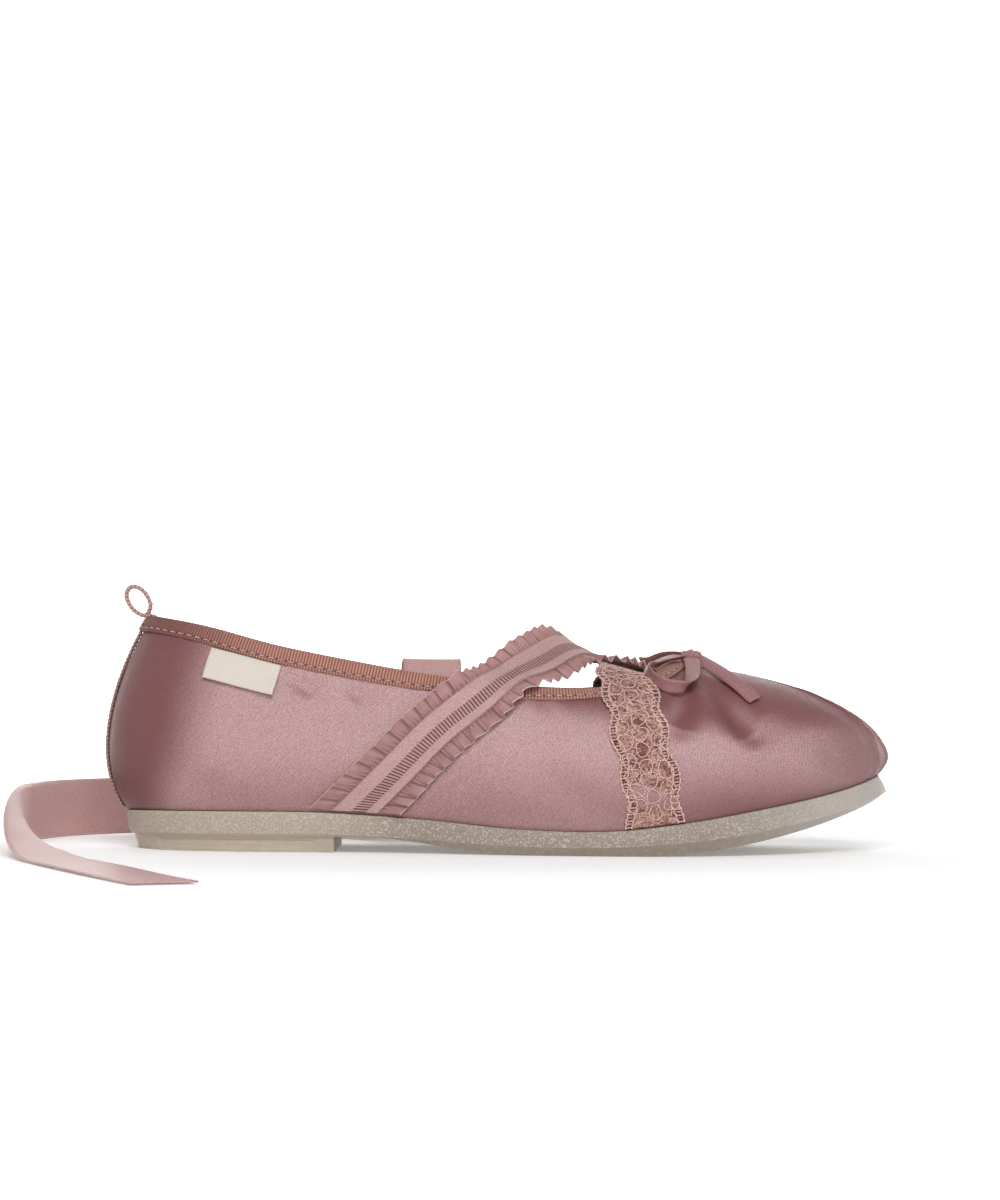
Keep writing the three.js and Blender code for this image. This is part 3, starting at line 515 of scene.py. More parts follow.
class Shape:
    """Points, faces, flat coordinates and material numbers of one piece."""

    def __init__(self):
        self.points, self.faces, self.flat, self.slots = [], [], [], []
        self.count = 0

    def add(self, points, faces, flat=None, slot=0):
        points = np.asarray(points, float).reshape(-1, 3)
        flat = np.zeros((len(points), 2)) if flat is None else np.asarray(flat, float).reshape(-1, 2)
        self.points.append(points)
        self.flat.append(flat)
        self.faces.extend((np.asarray(faces) + self.count).tolist())
        self.slots.extend([slot] * len(faces))
        self.count += len(points)

    def grid(self, points, flat=None, slot=0, loop_rows=False, loop_columns=False, turned=False):
        rows, columns = points.shape[:2]
        faces = grid_faces(rows, columns, loop_rows, loop_columns)
        self.add(points, faces[:, ::-1] if turned else faces, flat, slot)

    def sheet(self, front, back, flat=None, slot=0, looped=False):
        """A thin closed sheet between two grids of points."""
        rows, columns = front.shape[:2]
        ring = np.concatenate([front, back[:, ::-1]], axis=1)
        flats = None if flat is None else np.concatenate([flat, flat[:, ::-1]], axis=1)
        faces = grid_faces(rows, 2 * columns, looped, True)
        if not looped:
            ends = []
            for row, turn in ((0, 1), (rows - 1, -1)):
                base = row * 2 * columns
                for j in range(columns - 1):
                    back_j = 2 * columns - 1 - j
                    quad = [base + j, base + j + 1, base + back_j - 1, base + back_j]
                    ends.append(quad[::-turn])
            faces = np.concatenate([faces, np.array(ends)])
        self.add(ring, faces, flats, slot)

    def tubes(self, paths, normals, radius, sides=6, closed=False, flat=None, slot=0):
        """Round threads along many paths at once: paths is tubes by steps by 3."""
        count, steps = paths.shape[:2]
        if closed:
            along = unit(np.roll(paths, -1, 1) - np.roll(paths, 1, 1))
        else:
            along = unit(np.gradient(paths, axis=1))
        normals = unit(normals - along * dot(normals, along)[..., None])
        side = np.cross(along, normals)
        angle = np.arange(sides) * 2 * math.pi / sides
        radius = np.broadcast_to(radius, (count, steps))[..., None, None]
        round_way = np.cos(angle)[:, None] * normals[:, :, None] + np.sin(angle)[:, None] * side[:, :, None]
        points = paths[:, :, None] + radius * round_way
        faces = grid_faces(steps, sides, closed, True)
        every = (faces[None] + (np.arange(count) * steps * sides)[:, None, None]).reshape(-1, 4)
        flats = None if flat is None else np.repeat(flat[:, :, None], sides, axis=2)
        self.add(points, every, flats, slot)

    def make(self, name, materials, record_slot, *nodes):
        mesh = bpy.data.meshes.new(name)
        points = np.concatenate(self.points) * MM
        mesh.from_pydata(points.tolist(), [], self.faces)
        layer = mesh.uv_layers.new(name="flat")
        corners = np.empty(len(mesh.loops), int)
        mesh.loops.foreach_get("vertex_index", corners)
        layer.data.foreach_set("uv", np.concatenate(self.flat)[corners].astype(np.float32).ravel())
        for material in materials:
            mesh.materials.append(material)
        mesh.polygons.foreach_set("material_index", np.array(self.slots, np.int32))
        mesh.polygons.foreach_set("use_smooth", np.ones(len(mesh.polygons), bool))
        mesh.update()
        obj = link(bpy.data.objects.new(name, mesh))
        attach(obj, "root")
        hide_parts(*nodes)
        return obj


# Materials
def colour(red, green, blue):
    """Linear colour from 8-bit screen values."""
    values = np.array([red, green, blue]) / 255
    linear = np.where(values <= 0.04045, values / 12.92, ((values + 0.055) / 1.055) ** 2.4)
    return (*linear.tolist(), 1.0)


class Paint:
    """A node material: helpers that add a node and join it to the others."""

    NO_LIMIT = 2.0

    def __init__(self, name, **values):
        self.material = bpy.data.materials.new(name)
        self.material.use_nodes = True
        self.tree = self.material.node_tree
        self.shader = self.tree.nodes["Principled BSDF"]
        for socket, value in values.items():
            self.shader.inputs[socket.replace("_", " ")].default_value = value

    def add(self, kind, inputs=None, **settings):
        node = self.tree.nodes.new(kind)
        for key, value in settings.items():
            setattr(node, key, value)
        for socket, value in (inputs or {}).items():
            if isinstance(value, bpy.types.NodeSocket):
                self.tree.links.new(value, node.inputs[socket])
            else:
                node.inputs[socket].default_value = value
        return node

    def feed(self, socket, value):
        self.tree.links.new(value, self.shader.inputs[socket])

    def math(self, operation, *values):
        return self.add("ShaderNodeMath", dict(enumerate(values)), operation=operation).outputs[0]

    def plus(self, a, b):
        return self.math("ADD", a, b)

    def times(self, a, b):
        return self.math("MULTIPLY", a, b)

    def most(self, a, b):
        return self.math("MAXIMUM", a, b)

    def split(self, vector):
        return self.add("ShaderNodeSeparateXYZ", {0: vector}).outputs

    def flat(self):
        """Flat coordinates of the cloth in millimetres, along and across."""
        both = self.split(self.add("ShaderNodeUVMap", uv_map="flat").outputs[0])
        return both[0], both[1]

    def place(self):
        return self.add("ShaderNodeTexCoord").outputs["Object"]

    def noise(self, scale, detail=3.0):
        """Noise from 0 to 1; scale is in cells to a metre."""
        inputs = {"Vector": self.place(), "Scale": scale, "Detail": detail}
        return self.add("ShaderNodeTexNoise", inputs).outputs["Fac"]

    def grain(self):
        """The sparkle of single threads, from 0 to 1."""
        return self.spread(self.noise(2500, 1.0), 0.34, 0.66)

    def spread(self, value, low, high):
        """Stretches the values between two limits to 0 to 1."""
        inputs = {"Value": value, "From Min": low, "From Max": high}
        return self.add("ShaderNodeMapRange", inputs, interpolation_type="SMOOTHSTEP").outputs[0]

    def ripple(self, value, pitch):
        """Wave from 0 to 1 with a pitch in the units of value."""
        turn = self.times(value, 2 * math.pi / pitch)
        return self.math("MULTIPLY_ADD", self.math("SINE", turn), 0.5, 0.5)

    def band(self, value, low, high, soft):
        """1 where value is between two limits."""
        rise = {"Value": value, "From Min": low - soft, "From Max": low + soft}
        fall = {"Value": value, "From Min": high - soft, "From Max": high + soft}
        fall.update({"To Min": 1.0, "To Max": 0.0})
        edges = [self.add("ShaderNodeMapRange", inputs).outputs[0] for inputs in (rise, fall)]
        return self.times(*edges)

    def above(self, value, low, soft):
        """1 where a value that stays under NO_LIMIT is above a limit."""
        return self.band(value, low, self.NO_LIMIT, soft)

    def mix(self, factor, a, b):
        return self.add("ShaderNodeMix", {0: factor, 6: a, 7: b}, data_type="RGBA").outputs[2]

    def colour(self, socket):
        self.feed("Base Color", socket)

    def roughness(self, value, low, high):
        node = self.add("ShaderNodeMapRange", {"Value": value, "To Min": low, "To Max": high})
        self.feed("Roughness", node.outputs[0])

    def bump(self, height, depth):
        """Depth is the height in millimetres that 1 stands for; bumps add up."""
        inputs = {"Height": height, "Distance": depth * MM, "Strength": 1.0}
        if self.shader.inputs["Normal"].is_linked:
            inputs["Normal"] = self.shader.inputs["Normal"].links[0].from_socket
        self.feed("Normal", self.add("ShaderNodeBump", inputs).outputs[0])


def satin(name, light, dark, rough, pitch):
    """Satin with a fine slanting weave and a sparkling grain."""
    lean, cloud_share, grain_share, weave_share, relief = 0.8, 0.3, 0.58, 0.15, 0.05
    paint = Paint(name, Specular_IOR_Level=0.2)
    along, across = paint.flat()
    weave = paint.ripple(paint.plus(along, paint.times(across, lean)), pitch)
    cloud = paint.noise(38, 4.0)
    grain = paint.grain()
    tone = paint.plus(paint.times(cloud, cloud_share), paint.times(grain, grain_share))
    tone = paint.plus(tone, paint.times(weave, weave_share))
    paint.colour(paint.mix(tone, dark, light))
    paint.roughness(grain, rough - 0.06, rough + 0.08)
    paint.bump(weave, relief)
    paint.bump(grain, relief)
    return paint


def ribbed(name, light, dark, pitch, depth, seam=0.0):
    """Tape with ribs across its length and, where it is sewn, a dark seam and painted shade that darkens its
    heel end.
    """
    thread_pitch, thread_depth, cloud_share = 0.42, 0.4, 0.4
    seam_half, seam_soft, seam_share, seam_shade = 0.3, 0.08, 0.75, colour(92, 44, 36)
    heel_start, heel_end, heel_share, heel_painted_shade = -0.07, -0.11, 0.75, colour(90, 34, 26)
    paint = Paint(name, Roughness=0.72, Sheen_Weight=0.1)
    along, across = paint.flat()
    rib = paint.ripple(along, pitch)
    thread = paint.ripple(across, thread_pitch)
    cloud = paint.noise(160, 4.0)
    shade = paint.mix(rib, dark, light)
    shade = paint.mix(paint.times(cloud, cloud_share), shade, dark)
    if seam:
        line = paint.band(across, seam - seam_half, seam + seam_half, seam_soft)
        shade = paint.mix(paint.times(line, seam_share), shade, seam_shade)
        # Painted shade: the tape grows darker towards the heel end.
        length = paint.split(paint.place())[0]
        heel = paint.times(paint.spread(length, heel_start, heel_end), heel_share)
        shade = paint.mix(heel, shade, heel_painted_shade)
    paint.colour(shade)
    paint.bump(rib, depth)
    paint.bump(thread, depth * thread_depth)
    return paint.material


def plain_weave(name, light, dark, pitch):
    """Fine plain cloth, for the lining, the sock and the label."""
    cloud_share, relief = 0.35, 0.08
    paint = Paint(name, Roughness=0.85, Sheen_Weight=0.1)
    along, across = paint.flat()
    weave = paint.times(paint.ripple(along, pitch), paint.ripple(across, pitch))
    cloud = paint.noise(90, 4.0)
    shade = paint.mix(weave, dark, light)
    paint.colour(paint.mix(paint.times(cloud, cloud_share), shade, dark))
    paint.bump(weave, relief)
    return paint.material


def crepe_rubber(name, heel, waist_shade, toe, grain_size, specks):
    """Cloudy rubber with a grained side, whose colour changes from the heel to the toe: painted shade darkens
    the waist between the lighter heel and toe.
    """
    waist_place, toe_place = (-0.06, -0.02), (0.06, 0.115)
    cloud_share, cloud_shade, speck_shade, relief = 0.25, colour(132, 120, 106), colour(206, 198, 184), 0.3
    paint = Paint(name, Subsurface_Weight=0.35, Subsurface_Scale=0.004, Specular_IOR_Level=0.4,
                  Subsurface_Radius=(1.0, 0.9, 0.7))
    length = paint.split(paint.place())[0]
    grain = paint.noise(grain_size)
    cloud = paint.noise(70)
    # Painted shade: from the heel colour to the darker waist, then up to the toe colour.
    shade = paint.mix(paint.spread(length, *waist_place), heel, waist_shade)
    shade = paint.mix(paint.spread(length, *toe_place), shade, toe)
    shade = paint.mix(paint.times(cloud, cloud_share), shade, cloud_shade)
    speck = paint.band(grain, 0.56, 1.0, 0.03)
    paint.colour(paint.mix(paint.times(speck, specks), shade, speck_shade))
    paint.roughness(grain, 0.4, 0.62)
    paint.bump(grain, relief * specks)
    return paint.material


def tread_rubber():
    """Sole rubber with fine cross grooves for the underside, with painted shade in the grooves."""
    groove_pitch, groove_depth = 4.2, 0.5
    light, dark, groove_painted_shade = colour(190, 183, 166), colour(166, 158, 140), colour(138, 130, 114)
    paint = Paint("tread_rubber", Roughness=0.55, Subsurface_Weight=0.2, Subsurface_Scale=0.003)
    along, _ = paint.flat()
    groove = paint.above(paint.ripple(along, groove_pitch), 0.25, 0.1)
    cloud = paint.noise(90)
    base = paint.mix(cloud, dark, light)
    # Painted shade darkens the grooves.
    paint.colour(paint.mix(groove, groove_painted_shade, base))
    paint.bump(groove, groove_depth)
    return paint.material


# Light goes through thin cloth almost evenly in red, green and blue
CLOTH_GLOW = (1.0, 0.85, 0.82)


def elastic_band():
    """Flat elastic: two plain bands and a dark ladder of bars between them."""
    ladder_low, ladder_high, bar_pitch, bar_depth = -0.9, 2.5, 1.1, 0.35
    seam_low, seam_high, seam_share = 5.05, 5.3, 0.6
    weave_pitch_along, weave_pitch_across, weave_share, grain_share, relief = 0.45, 0.5, 0.4, 0.6, 0.06
    light, dark, gap_shade = colour(200, 166, 161), colour(164, 128, 124), colour(112, 66, 62)
    paint = Paint("elastic_band", Roughness=0.7, Sheen_Weight=0.1, Subsurface_Weight=0.3,
                  Subsurface_Scale=0.002, Subsurface_Radius=CLOTH_GLOW)
    along, across = paint.flat()
    ladder = paint.band(across, ladder_low, ladder_high, 0.12)
    bars = paint.above(paint.ripple(along, bar_pitch), 0.52, 0.14)
    gap = paint.times(ladder, bars)
    seam = paint.band(paint.math("ABSOLUTE", across), seam_low, seam_high, 0.08)
    shadow = paint.most(gap, paint.times(seam, seam_share))
    weave = paint.times(paint.ripple(along, weave_pitch_along), paint.ripple(across, weave_pitch_across))
    grain = paint.grain()
    tone = paint.plus(paint.times(weave, weave_share), paint.times(grain, grain_share))
    base = paint.mix(tone, dark, light)
    paint.colour(paint.mix(shadow, base, gap_shade))
    paint.bump(weave, relief)
    paint.bump(paint.math("SUBTRACT", 1.0, gap), bar_depth)
    return paint.material


def frill_cloth():
    """Thin gathered cloth with painted shade in its folds, in fine streaks near its root and at its root, and
    a lighter hem.
    """
    root_share, fold_share, streak_share, hem_share = 0.8, 0.7, 0.65, 0.7
    streak_pitch, relief = 0.27, 0.05
    light, dark = colour(178, 136, 132), colour(138, 95, 93)
    fold_painted_shade, hem_light = colour(74, 36, 34), colour(220, 188, 181)
    paint = Paint("frill_cloth", Roughness=0.66, Sheen_Weight=0.2, Subsurface_Weight=0.4,
                  Subsurface_Scale=0.002, Subsurface_Radius=CLOTH_GLOW)
    pleat, reach = paint.flat()
    hem = paint.above(reach, 0.94, 0.02)
    # Masks of painted shade: along the root, in the last part of each pleat and in fine streaks that fade out
    # towards the middle of the frill.
    root = paint.band(reach, -1.0, 0.05, 0.05)
    fold = paint.above(paint.math("FRACT", pleat), 0.9, 0.05)
    streak = paint.above(paint.ripple(pleat, streak_pitch), 0.7, 0.15)
    streak = paint.times(streak, paint.spread(reach, 0.5, 0.0))
    cloud = paint.noise(220, 4.0)
    shadow = paint.most(paint.times(root, root_share), paint.times(fold, fold_share))
    shadow = paint.most(shadow, paint.times(streak, streak_share))
    base = paint.mix(cloud, dark, light)
    base = paint.mix(shadow, base, fold_painted_shade)
    paint.colour(paint.mix(paint.times(hem, hem_share), base, hem_light))
    paint.bump(paint.noise(1800, 2.0), relief)
    return paint.material


def lace_net():
    """Dense net behind the lace threads, with holes and with dark eyelets along both edges."""
    hole_share, relief = 0.75, 0.25
    light, dark = colour(190, 150, 138), colour(122, 78, 70)
    hole_shade, eyelet_shade = colour(88, 44, 40), colour(74, 34, 32)
    paint = Paint("lace_net", Roughness=0.85, Sheen_Weight=0.1)
    along, across = paint.flat()
    grain = paint.noise(1300)
    cloud = paint.noise(330)
    eyelets = paint.above(paint.ripple(along, LACE_PICOT), 0.3, 0.15)
    edge = paint.band(across, 0.77, 0.97, 0.02)
    eyelets = paint.times(eyelets, edge)
    base = paint.mix(paint.spread(grain, 0.35, 0.65), dark, light)
    hole = paint.times(paint.above(cloud, 0.57, 0.04), hole_share)
    base = paint.mix(hole, base, hole_shade)
    paint.colour(paint.mix(eyelets, base, eyelet_shade))
    paint.bump(grain, relief)
    return paint.material


def thread(name, light, dark, pitch):
    """Spun thread with slanting turns."""
    relief = 0.12
    paint = Paint(name, Roughness=0.68, Sheen_Weight=0.2)
    along, across = paint.flat()
    turn = paint.ripple(paint.plus(along, across), pitch)
    paint.colour(paint.mix(turn, dark, light))
    paint.bump(turn, relief)
    return paint.material


def upper_satin():
    """The upper's satin, with painted shade round the heel, at the toe, low along the sole (more so in front)
    and on faces that look up, such as the top of the vamp.
    """
    heel_lean, heel_share, toe_share, top_share, crown_share = -0.25, 0.88, 0.56, 0.72, 0.6
    low_share, low_more_in_front = 0.4, 0.42
    heel_place, toe_place, front_place = (-0.094, -0.117), (0.086, 0.12), (0.03, 0.08)
    low_place, top_slope = (0.034, 0.012), (0.4, 0.78)
    # Painted shade: one dark colour for the heel, the toe, the low sides and the upward faces, and a redder
    # one laid over the upward faces as well.
    satin_painted_shade, crown = colour(111, 67, 67), colour(116, 56, 56)
    paint = satin("satin_pink", colour(197, 163, 164), colour(147, 111, 112), 0.42, 1.1)
    base = paint.shader.inputs["Base Color"].links[0].from_socket
    where = paint.split(paint.place())
    upward = paint.split(paint.add("ShaderNodeTexCoord").outputs["Normal"])[2]
    # Masks of the painted shade, from the place and from how much a face looks up.
    slant = paint.math("MULTIPLY_ADD", where[2], heel_lean, where[0])
    heel = paint.times(paint.spread(slant, *heel_place), heel_share)
    toe = paint.times(paint.spread(where[0], *toe_place), toe_share)
    top = paint.times(paint.spread(upward, *top_slope), top_share)
    front = paint.spread(where[0], *front_place)
    forward = paint.math("MULTIPLY_ADD", front, low_more_in_front, low_share)
    low = paint.times(paint.spread(where[2], *low_place), forward)
    depth = paint.most(paint.most(heel, toe), paint.most(low, top))
    shade = paint.mix(depth, base, satin_painted_shade)
    paint.colour(paint.mix(paint.times(top, crown_share), shade, crown))
    return paint.material


SATIN_PINK = upper_satin()
LINING = plain_weave("lining_cloth", colour(214, 186, 176), colour(186, 152, 142), 0.9)
SOCK = plain_weave("sock_cloth", colour(216, 192, 180), colour(192, 160, 148), 0.8)
GROSGRAIN = ribbed("grosgrain_tape", colour(210, 154, 138), colour(132, 80, 68), 0.95, 0.26, OUTER_SEAM)
BRAID = ribbed("braided_tape", colour(230, 194, 184), colour(176, 130, 120), BRAID_PITCH, 0.4)
STITCH = thread("stitch_thread", colour(222, 192, 186), colour(170, 130, 124), 0.5)
ELASTIC = elastic_band()
FRILL = frill_cloth()
LACE_NET = lace_net()
LACE_THREAD = thread("lace_thread", colour(228, 195, 185), colour(180, 138, 127), 0.7)
BOW_SATIN = satin("bow_satin", colour(168, 122, 122), colour(138, 94, 95), 0.42, 0.8).material
KNOT_SATIN = satin("knot_satin", colour(176, 128, 128), colour(136, 90, 91), 0.28, 0.8).material
RIBBON_SATIN = satin("ribbon_satin", colour(206, 168, 164), colour(180, 138, 134), 0.34, 0.7).material
LABEL_CLOTH = plain_weave("label_cloth", colour(224, 217, 208), colour(200, 190, 179), 0.7)
# Rubber colours at the heel, in the painted shade of the waist and at the toe.
HEEL_TONE, WAIST_PAINTED_SHADE, TOE_TONE = colour(170, 158, 143), colour(143, 130, 118), colour(182, 174, 169)
RUBBER = crepe_rubber("crepe_rubber", HEEL_TONE, WAIST_PAINTED_SHADE, TOE_TONE, 1700, 0.5)
RUBBER_BEVEL = crepe_rubber("rubber_bevel", HEEL_TONE, WAIST_PAINTED_SHADE, TOE_TONE, 700, 0.12)
HEEL_RUBBER = crepe_rubber("heel_rubber", colour(180, 166, 149), WAIST_PAINTED_SHADE, TOE_TONE, 500, 0.12)
TREAD = tread_rubber()


# Camera and ankle ribbon
def camera():
    place, target, roll = Vector((0.001, -1.0, 0.055)), Vector((0.001, 0.0, 0.0797)), math.radians(0.35)
    data = bpy.data.cameras.new("camera")
    data.sensor_fit = "AUTO"
    data.sensor_width = 36
    data.lens = 93.6
    data.clip_start = 0.01
    obj = link(bpy.data.objects.new("camera", data))
    obj.location = place
    obj.rotation_euler = (target - place).to_track_quat("-Z", "Y").to_euler()
    obj.rotation_euler.rotate_axis("Z", roll)
    bpy.context.scene.camera = obj


def ankle_ribbon():
    steps, columns, thickness = 12, 13, 0.5
    curl_height, curl_length = 0.12, 17
    edge_inset, edge_radius, edge_swell, edge_pitch = 0.55, 0.3, 0.1, 1.6
    path = spline([row[0] for row in RIBBON_ROUTE], steps)
    wide = spline([row[1] for row in RIBBON_ROUTE], steps)
    along = slope(path)
    wide = unit(wide - along * dot(wide, along)[:, None])
    facing = np.cross(along, wide)
    far = lengths_along(path)
    across = np.linspace(-0.5, 0.5, columns) * RIBBON_WIDTH
    points = path[:, None] + wide[:, None] * across[None, :, None]
    curl = curl_height * np.sin(far[:, None] / curl_length) * (2 * across[None] / RIBBON_WIDTH) ** 2
    front = points + facing[:, None] * (thickness / 2 + curl)[..., None]
    back = points + facing[:, None] * (curl - thickness / 2)[..., None]
    flat = lattice(far, across)
    shape = Shape()
    shape.sheet(front, back, flat)
    for side in (-1, 1):
        edge = path + wide * side * (RIBBON_WIDTH / 2 - edge_inset)
        bead = edge_radius + edge_swell * np.sin(far * 2 * math.pi / edge_pitch)
        shape.tubes(edge[None], facing[None], bead[None], flat=flat[None, :, 0], slot=1)
    obj = shape.make("ankle_ribbon_satin", [RIBBON_SATIN, STITCH], "ribbon", "ankle_ribbon")


# Upper: soft troughs (depth below 0 is a ridge) from one end to the other, in length and height
# of the side view: x, z, x, z, width, depth
NEAR_CREASES = [
    (-66, 57, -56, 49, 3.2, 1.8),
    (-47, 54, -41, 47, 3.0, 1.6),
    (67, 56, 79, 38, 4.2, 3.8),
    (61, 52, 57, 40, 4.2, 2.6),
    (84, 44, 92, 30, 7.0, 1.2),
    (14, 24, 32, 15, 6.0, 2.6),
    (34, 22, 60, 16, 6.5, -1.0),
    (-98, 22, -84, 18, 6.0, 2.2),
    (-112, 44, -104, 28, 7.0, 1.2),
    (-30, 30, -44, 20, 6.5, -1.0),
    (100, 34, 112, 26, 5.0, 1.2),
]
FAR_CREASES = [
    (-60, 58, -48, 50, 5.0, 1.2),
    (66, 54, 78, 40, 4.5, 2.4),
    (10, 26, 30, 17, 6.0, 1.6),
    (-96, 24, -82, 18, 6.0, 1.4),
    (90, 40, 104, 28, 6.0, 1.4),
    (-10, 44, -22, 32, 6.0, 1.0),
]


def crease_depth(points, creases):
    """Depth of all creases together, each fading towards its ends."""
    first, span = 0.12, 0.76
    total = np.zeros(points.shape[:-1])
    place = points[..., [0, 2]]
    for x1, z1, x2, z2, width, depth in creases:
        start, way = np.array([x1, z1], float), np.array([x2 - x1, z2 - z1], float)
        part = np.clip(((place - start) @ way) / (way @ way), 0, 1)
        gap = np.linalg.norm(place - start - part[..., None] * way, axis=-1)
        total += depth * bell(gap, width) * np.sin(math.pi * (first + span * part))
    return total


def toe_gathers(at, up):
    """Small pleats drawn together at the tip of the toe, and one sharp fold beside its middle."""
    tip_rows, foot_height, foot_spread = 1.5, 0.16, 0.2
    fold_row, fold_lean, fold_middle = 0.62, 0.5, 0.45
    ridge, ridge_width, trough, trough_width, trough_gap = 0.9, 0.07, 0.8, 0.11, 0.16
    bulge, bulge_rows, bulge_height, bulge_spread = 1.3, 1.2, 0.1, 0.08
    turn = toe_rows(at)
    pleats = waves(turn, ((0.42, 9.5, 0.6), (0.25, 15.3, 0.0)))
    pleats = bell(turn, tip_rows) * bell(up - foot_height, foot_spread) * pleats
    lean = turn - fold_row + fold_lean * (up - fold_middle)
    span = window(up, 0.12, 0.3, 0.52, 0.78)
    fold = ridge * bell(lean, ridge_width) - trough * bell(lean + trough_gap, trough_width)
    spread = bulge * bell(turn, bulge_rows) * bell(up - bulge_height, bulge_spread)
    return pleats + fold * span + spread


def upper():
    per_row, up_steps, in_steps, girth_height, side_row = 18, 84, 16, 0.5, 6.0
    pucker_height, pucker_length, pucker_group = 0.16, 2.1, 13
    wave_height, wave_length = 0.22, 9.0
    tuck_depth, tuck_height, sunk, sunk_height = 0.35, 0.018, 0.9, 0.05
    at = LAST_ROW + np.arange(TURN * per_row + 1) / per_row
    up = np.linspace(0, 1, up_steps + 1)
    grid_at, grid_up = np.meshgrid(at, up, indexing="ij")
    point, _, _, normal = wall_frame(grid_at, grid_up)
    near = grid_at % TURN < LAST_ROW
    trough = np.where(near, crease_depth(point, NEAR_CREASES), crease_depth(point, FAR_CREASES))
    trough = trough * window(grid_up, 0.0, 0.12, 0.82, 0.94)
    girth = lengths_along(wall_point(at, np.full_like(at, girth_height)))
    below_binding = window(up, 0.7, 0.88, 0.9, 1.0)
    above_sole = window(up, 0, 0.06, 0.05, 0.3)
    pucker = pucker_height * np.sin(girth / pucker_length) * np.sin(girth / pucker_group + 1)
    wave = wave_height * np.sin(girth / wave_length)
    height = pucker[:, None] * below_binding + wave[:, None] * above_sole
    height = height - trough + toe_gathers(grid_at, grid_up) - tuck_depth * bell(up, tuck_height)
    outer = point + normal * height[..., None]
    outer[..., 2] -= sunk * GAP * (1 - smoothstep(grid_up, 0, sunk_height))
    inner = point - normal * (WALL + np.maximum(trough, 0))[..., None]
    flat = lattice(girth, lengths_along(wall_point(np.full_like(up, side_row), up)))
    keep = np.round(np.linspace(0, up_steps, in_steps + 1)).astype(int)
    shape = Shape()
    shape.grid(outer, flat)
    shape.grid(inner[:, keep], flat[:, keep], 1, turned=True)
    for edge, turned in ((0, True), (-1, False)):
        strip = np.stack([outer[:, edge], inner[:, edge]], 1)
        shape.grid(strip, np.stack([flat[:, edge], flat[:, edge]], 1), 1, turned=turned)
    shape.make("satin_upper", [SATIN_PINK, LINING], "satin", "upper")


def stitches(shape, at, length, depth, side, face):
    """A row of stitches in the binding, at a depth below the rim, on its outside (1) or inside (-1)."""
    pitch, run, radius, steps, first = 3.1, 2.0, 0.2, 7, 1.0
    sunk, arch, thin_end = 0.22, 0.3, 0.45
    starts = np.arange(first, length[-1] - pitch, pitch)
    way = np.linspace(0, 1, steps)
    seat_at = np.interp(starts[:, None] + way[None] * run, length, at)
    rim, _, leave = rim_frame(seat_at)
    point, _, _, out = wall_frame(*nearest_on_wall(rim - leave * depth))
    base = point if side > 0 else point - out * WALL
    height = face - sunk + arch * np.sin(math.pi * way) ** 0.6
    paths = base + out * side * height[None, :, None]
    thick = radius * (thin_end + (1 - thin_end) * np.sin(math.pi * way) ** 0.5)
    flat = np.stack(np.broadcast_arrays(way[None] * run, 0 * starts[:, None]), -1)
    shape.tubes(paths, out * side, thick[None], flat=flat, slot=1)


def collar_binding():
    per_row, crown_steps, crown_more, plump = 26, 9, 0.3, 0.05
    clear, face = GAP, GAP + BINDING_TAPE
    # Each leg of the folded tape: depth below the rim and height off the wall
    outer_leg = [
        (BINDING_OUTSIDE, clear),
        (BINDING_OUTSIDE, face * 0.75),
        (BINDING_OUTSIDE - 0.25, face + plump),
        (BINDING_OUTSIDE - 0.75, face),
        (BINDING_OUTSIDE - 1.05, face - 0.3),
        (BINDING_OUTSIDE - 1.4, face - 0.02),
        (2.5, face + plump),
        (1.6, face + plump),
        (0.8, face + plump),
    ]
    inner_leg = [
        (0.8, face),
        (2.2, face),
        (BINDING_INSIDE - 0.3, face),
        (BINDING_INSIDE, face * 0.7),
        (BINDING_INSIDE, clear),
    ]
    at = LAST_ROW + np.arange(TURN * per_row + 1) / per_row
    rim, normal, leave = rim_frame(at)
    length = lengths_along(rim)
    rows, across = [], []

    def leg(points, side):
        for depth, height in points:
            point, _, _, out = wall_frame(*nearest_on_wall(rim - leave * depth))
            base = point if side > 0 else point - out * WALL
            rows.append(base + out * side * height)
            across.append(depth * side)

    leg(outer_leg, 1)
    middle = rim - normal * (WALL / 2)
    for angle in np.linspace(0.0, math.pi, crown_steps):
        side, rise = math.cos(angle), math.sin(angle)
        rows.append(middle + normal * side * (WALL / 2 + face) + leave * rise * (BINDING_CROWN + crown_more))
        across.append(-rise)
    leg(inner_leg, -1)
    shape = Shape()
    shape.grid(np.stack(rows, 1), lattice(length, np.array(across)), turned=True)
    for depth, side in ((OUTER_SEAM, 1), (INNER_SEAM, -1)):
        stitches(shape, at, length, depth, side, face)
    shape.make("grosgrain_binding", [GROSGRAIN, STITCH], "grosgrain", "collar_binding")


# Heel tape and pull loop
def braided_grid(path, width, thickness, closed=False):
    """Cross rings of a flat braid in the middle plane: two rows of plump stitches side by side."""
    sides, lean, plump, squareness, give, flat_step = 16, 0.8, 0.16, 0.7, 0.3, 0.4
    wide = np.tile(np.array([0.0, 1.0, 0.0]), (len(path), 1))
    facing = np.cross(wide, slope(path, closed))
    angle = np.arange(sides) * 2 * math.pi / sides
    half = np.sign(np.cos(angle))
    far = lengths_along(path)
    swell = 1 + plump * np.sin(far[:, None] * 2 * math.pi / BRAID_PITCH + half[None] * lean)
    across = half * np.abs(np.cos(angle)) ** squareness * width / 2
    up = np.sin(angle) * thickness / 2
    points = path[:, None] + wide[:, None] * (across * swell ** give)[..., None]
    points = points + facing[:, None] * (up * swell)[..., None]
    return points, lattice(far, np.cumsum(np.full(sides, flat_step)))


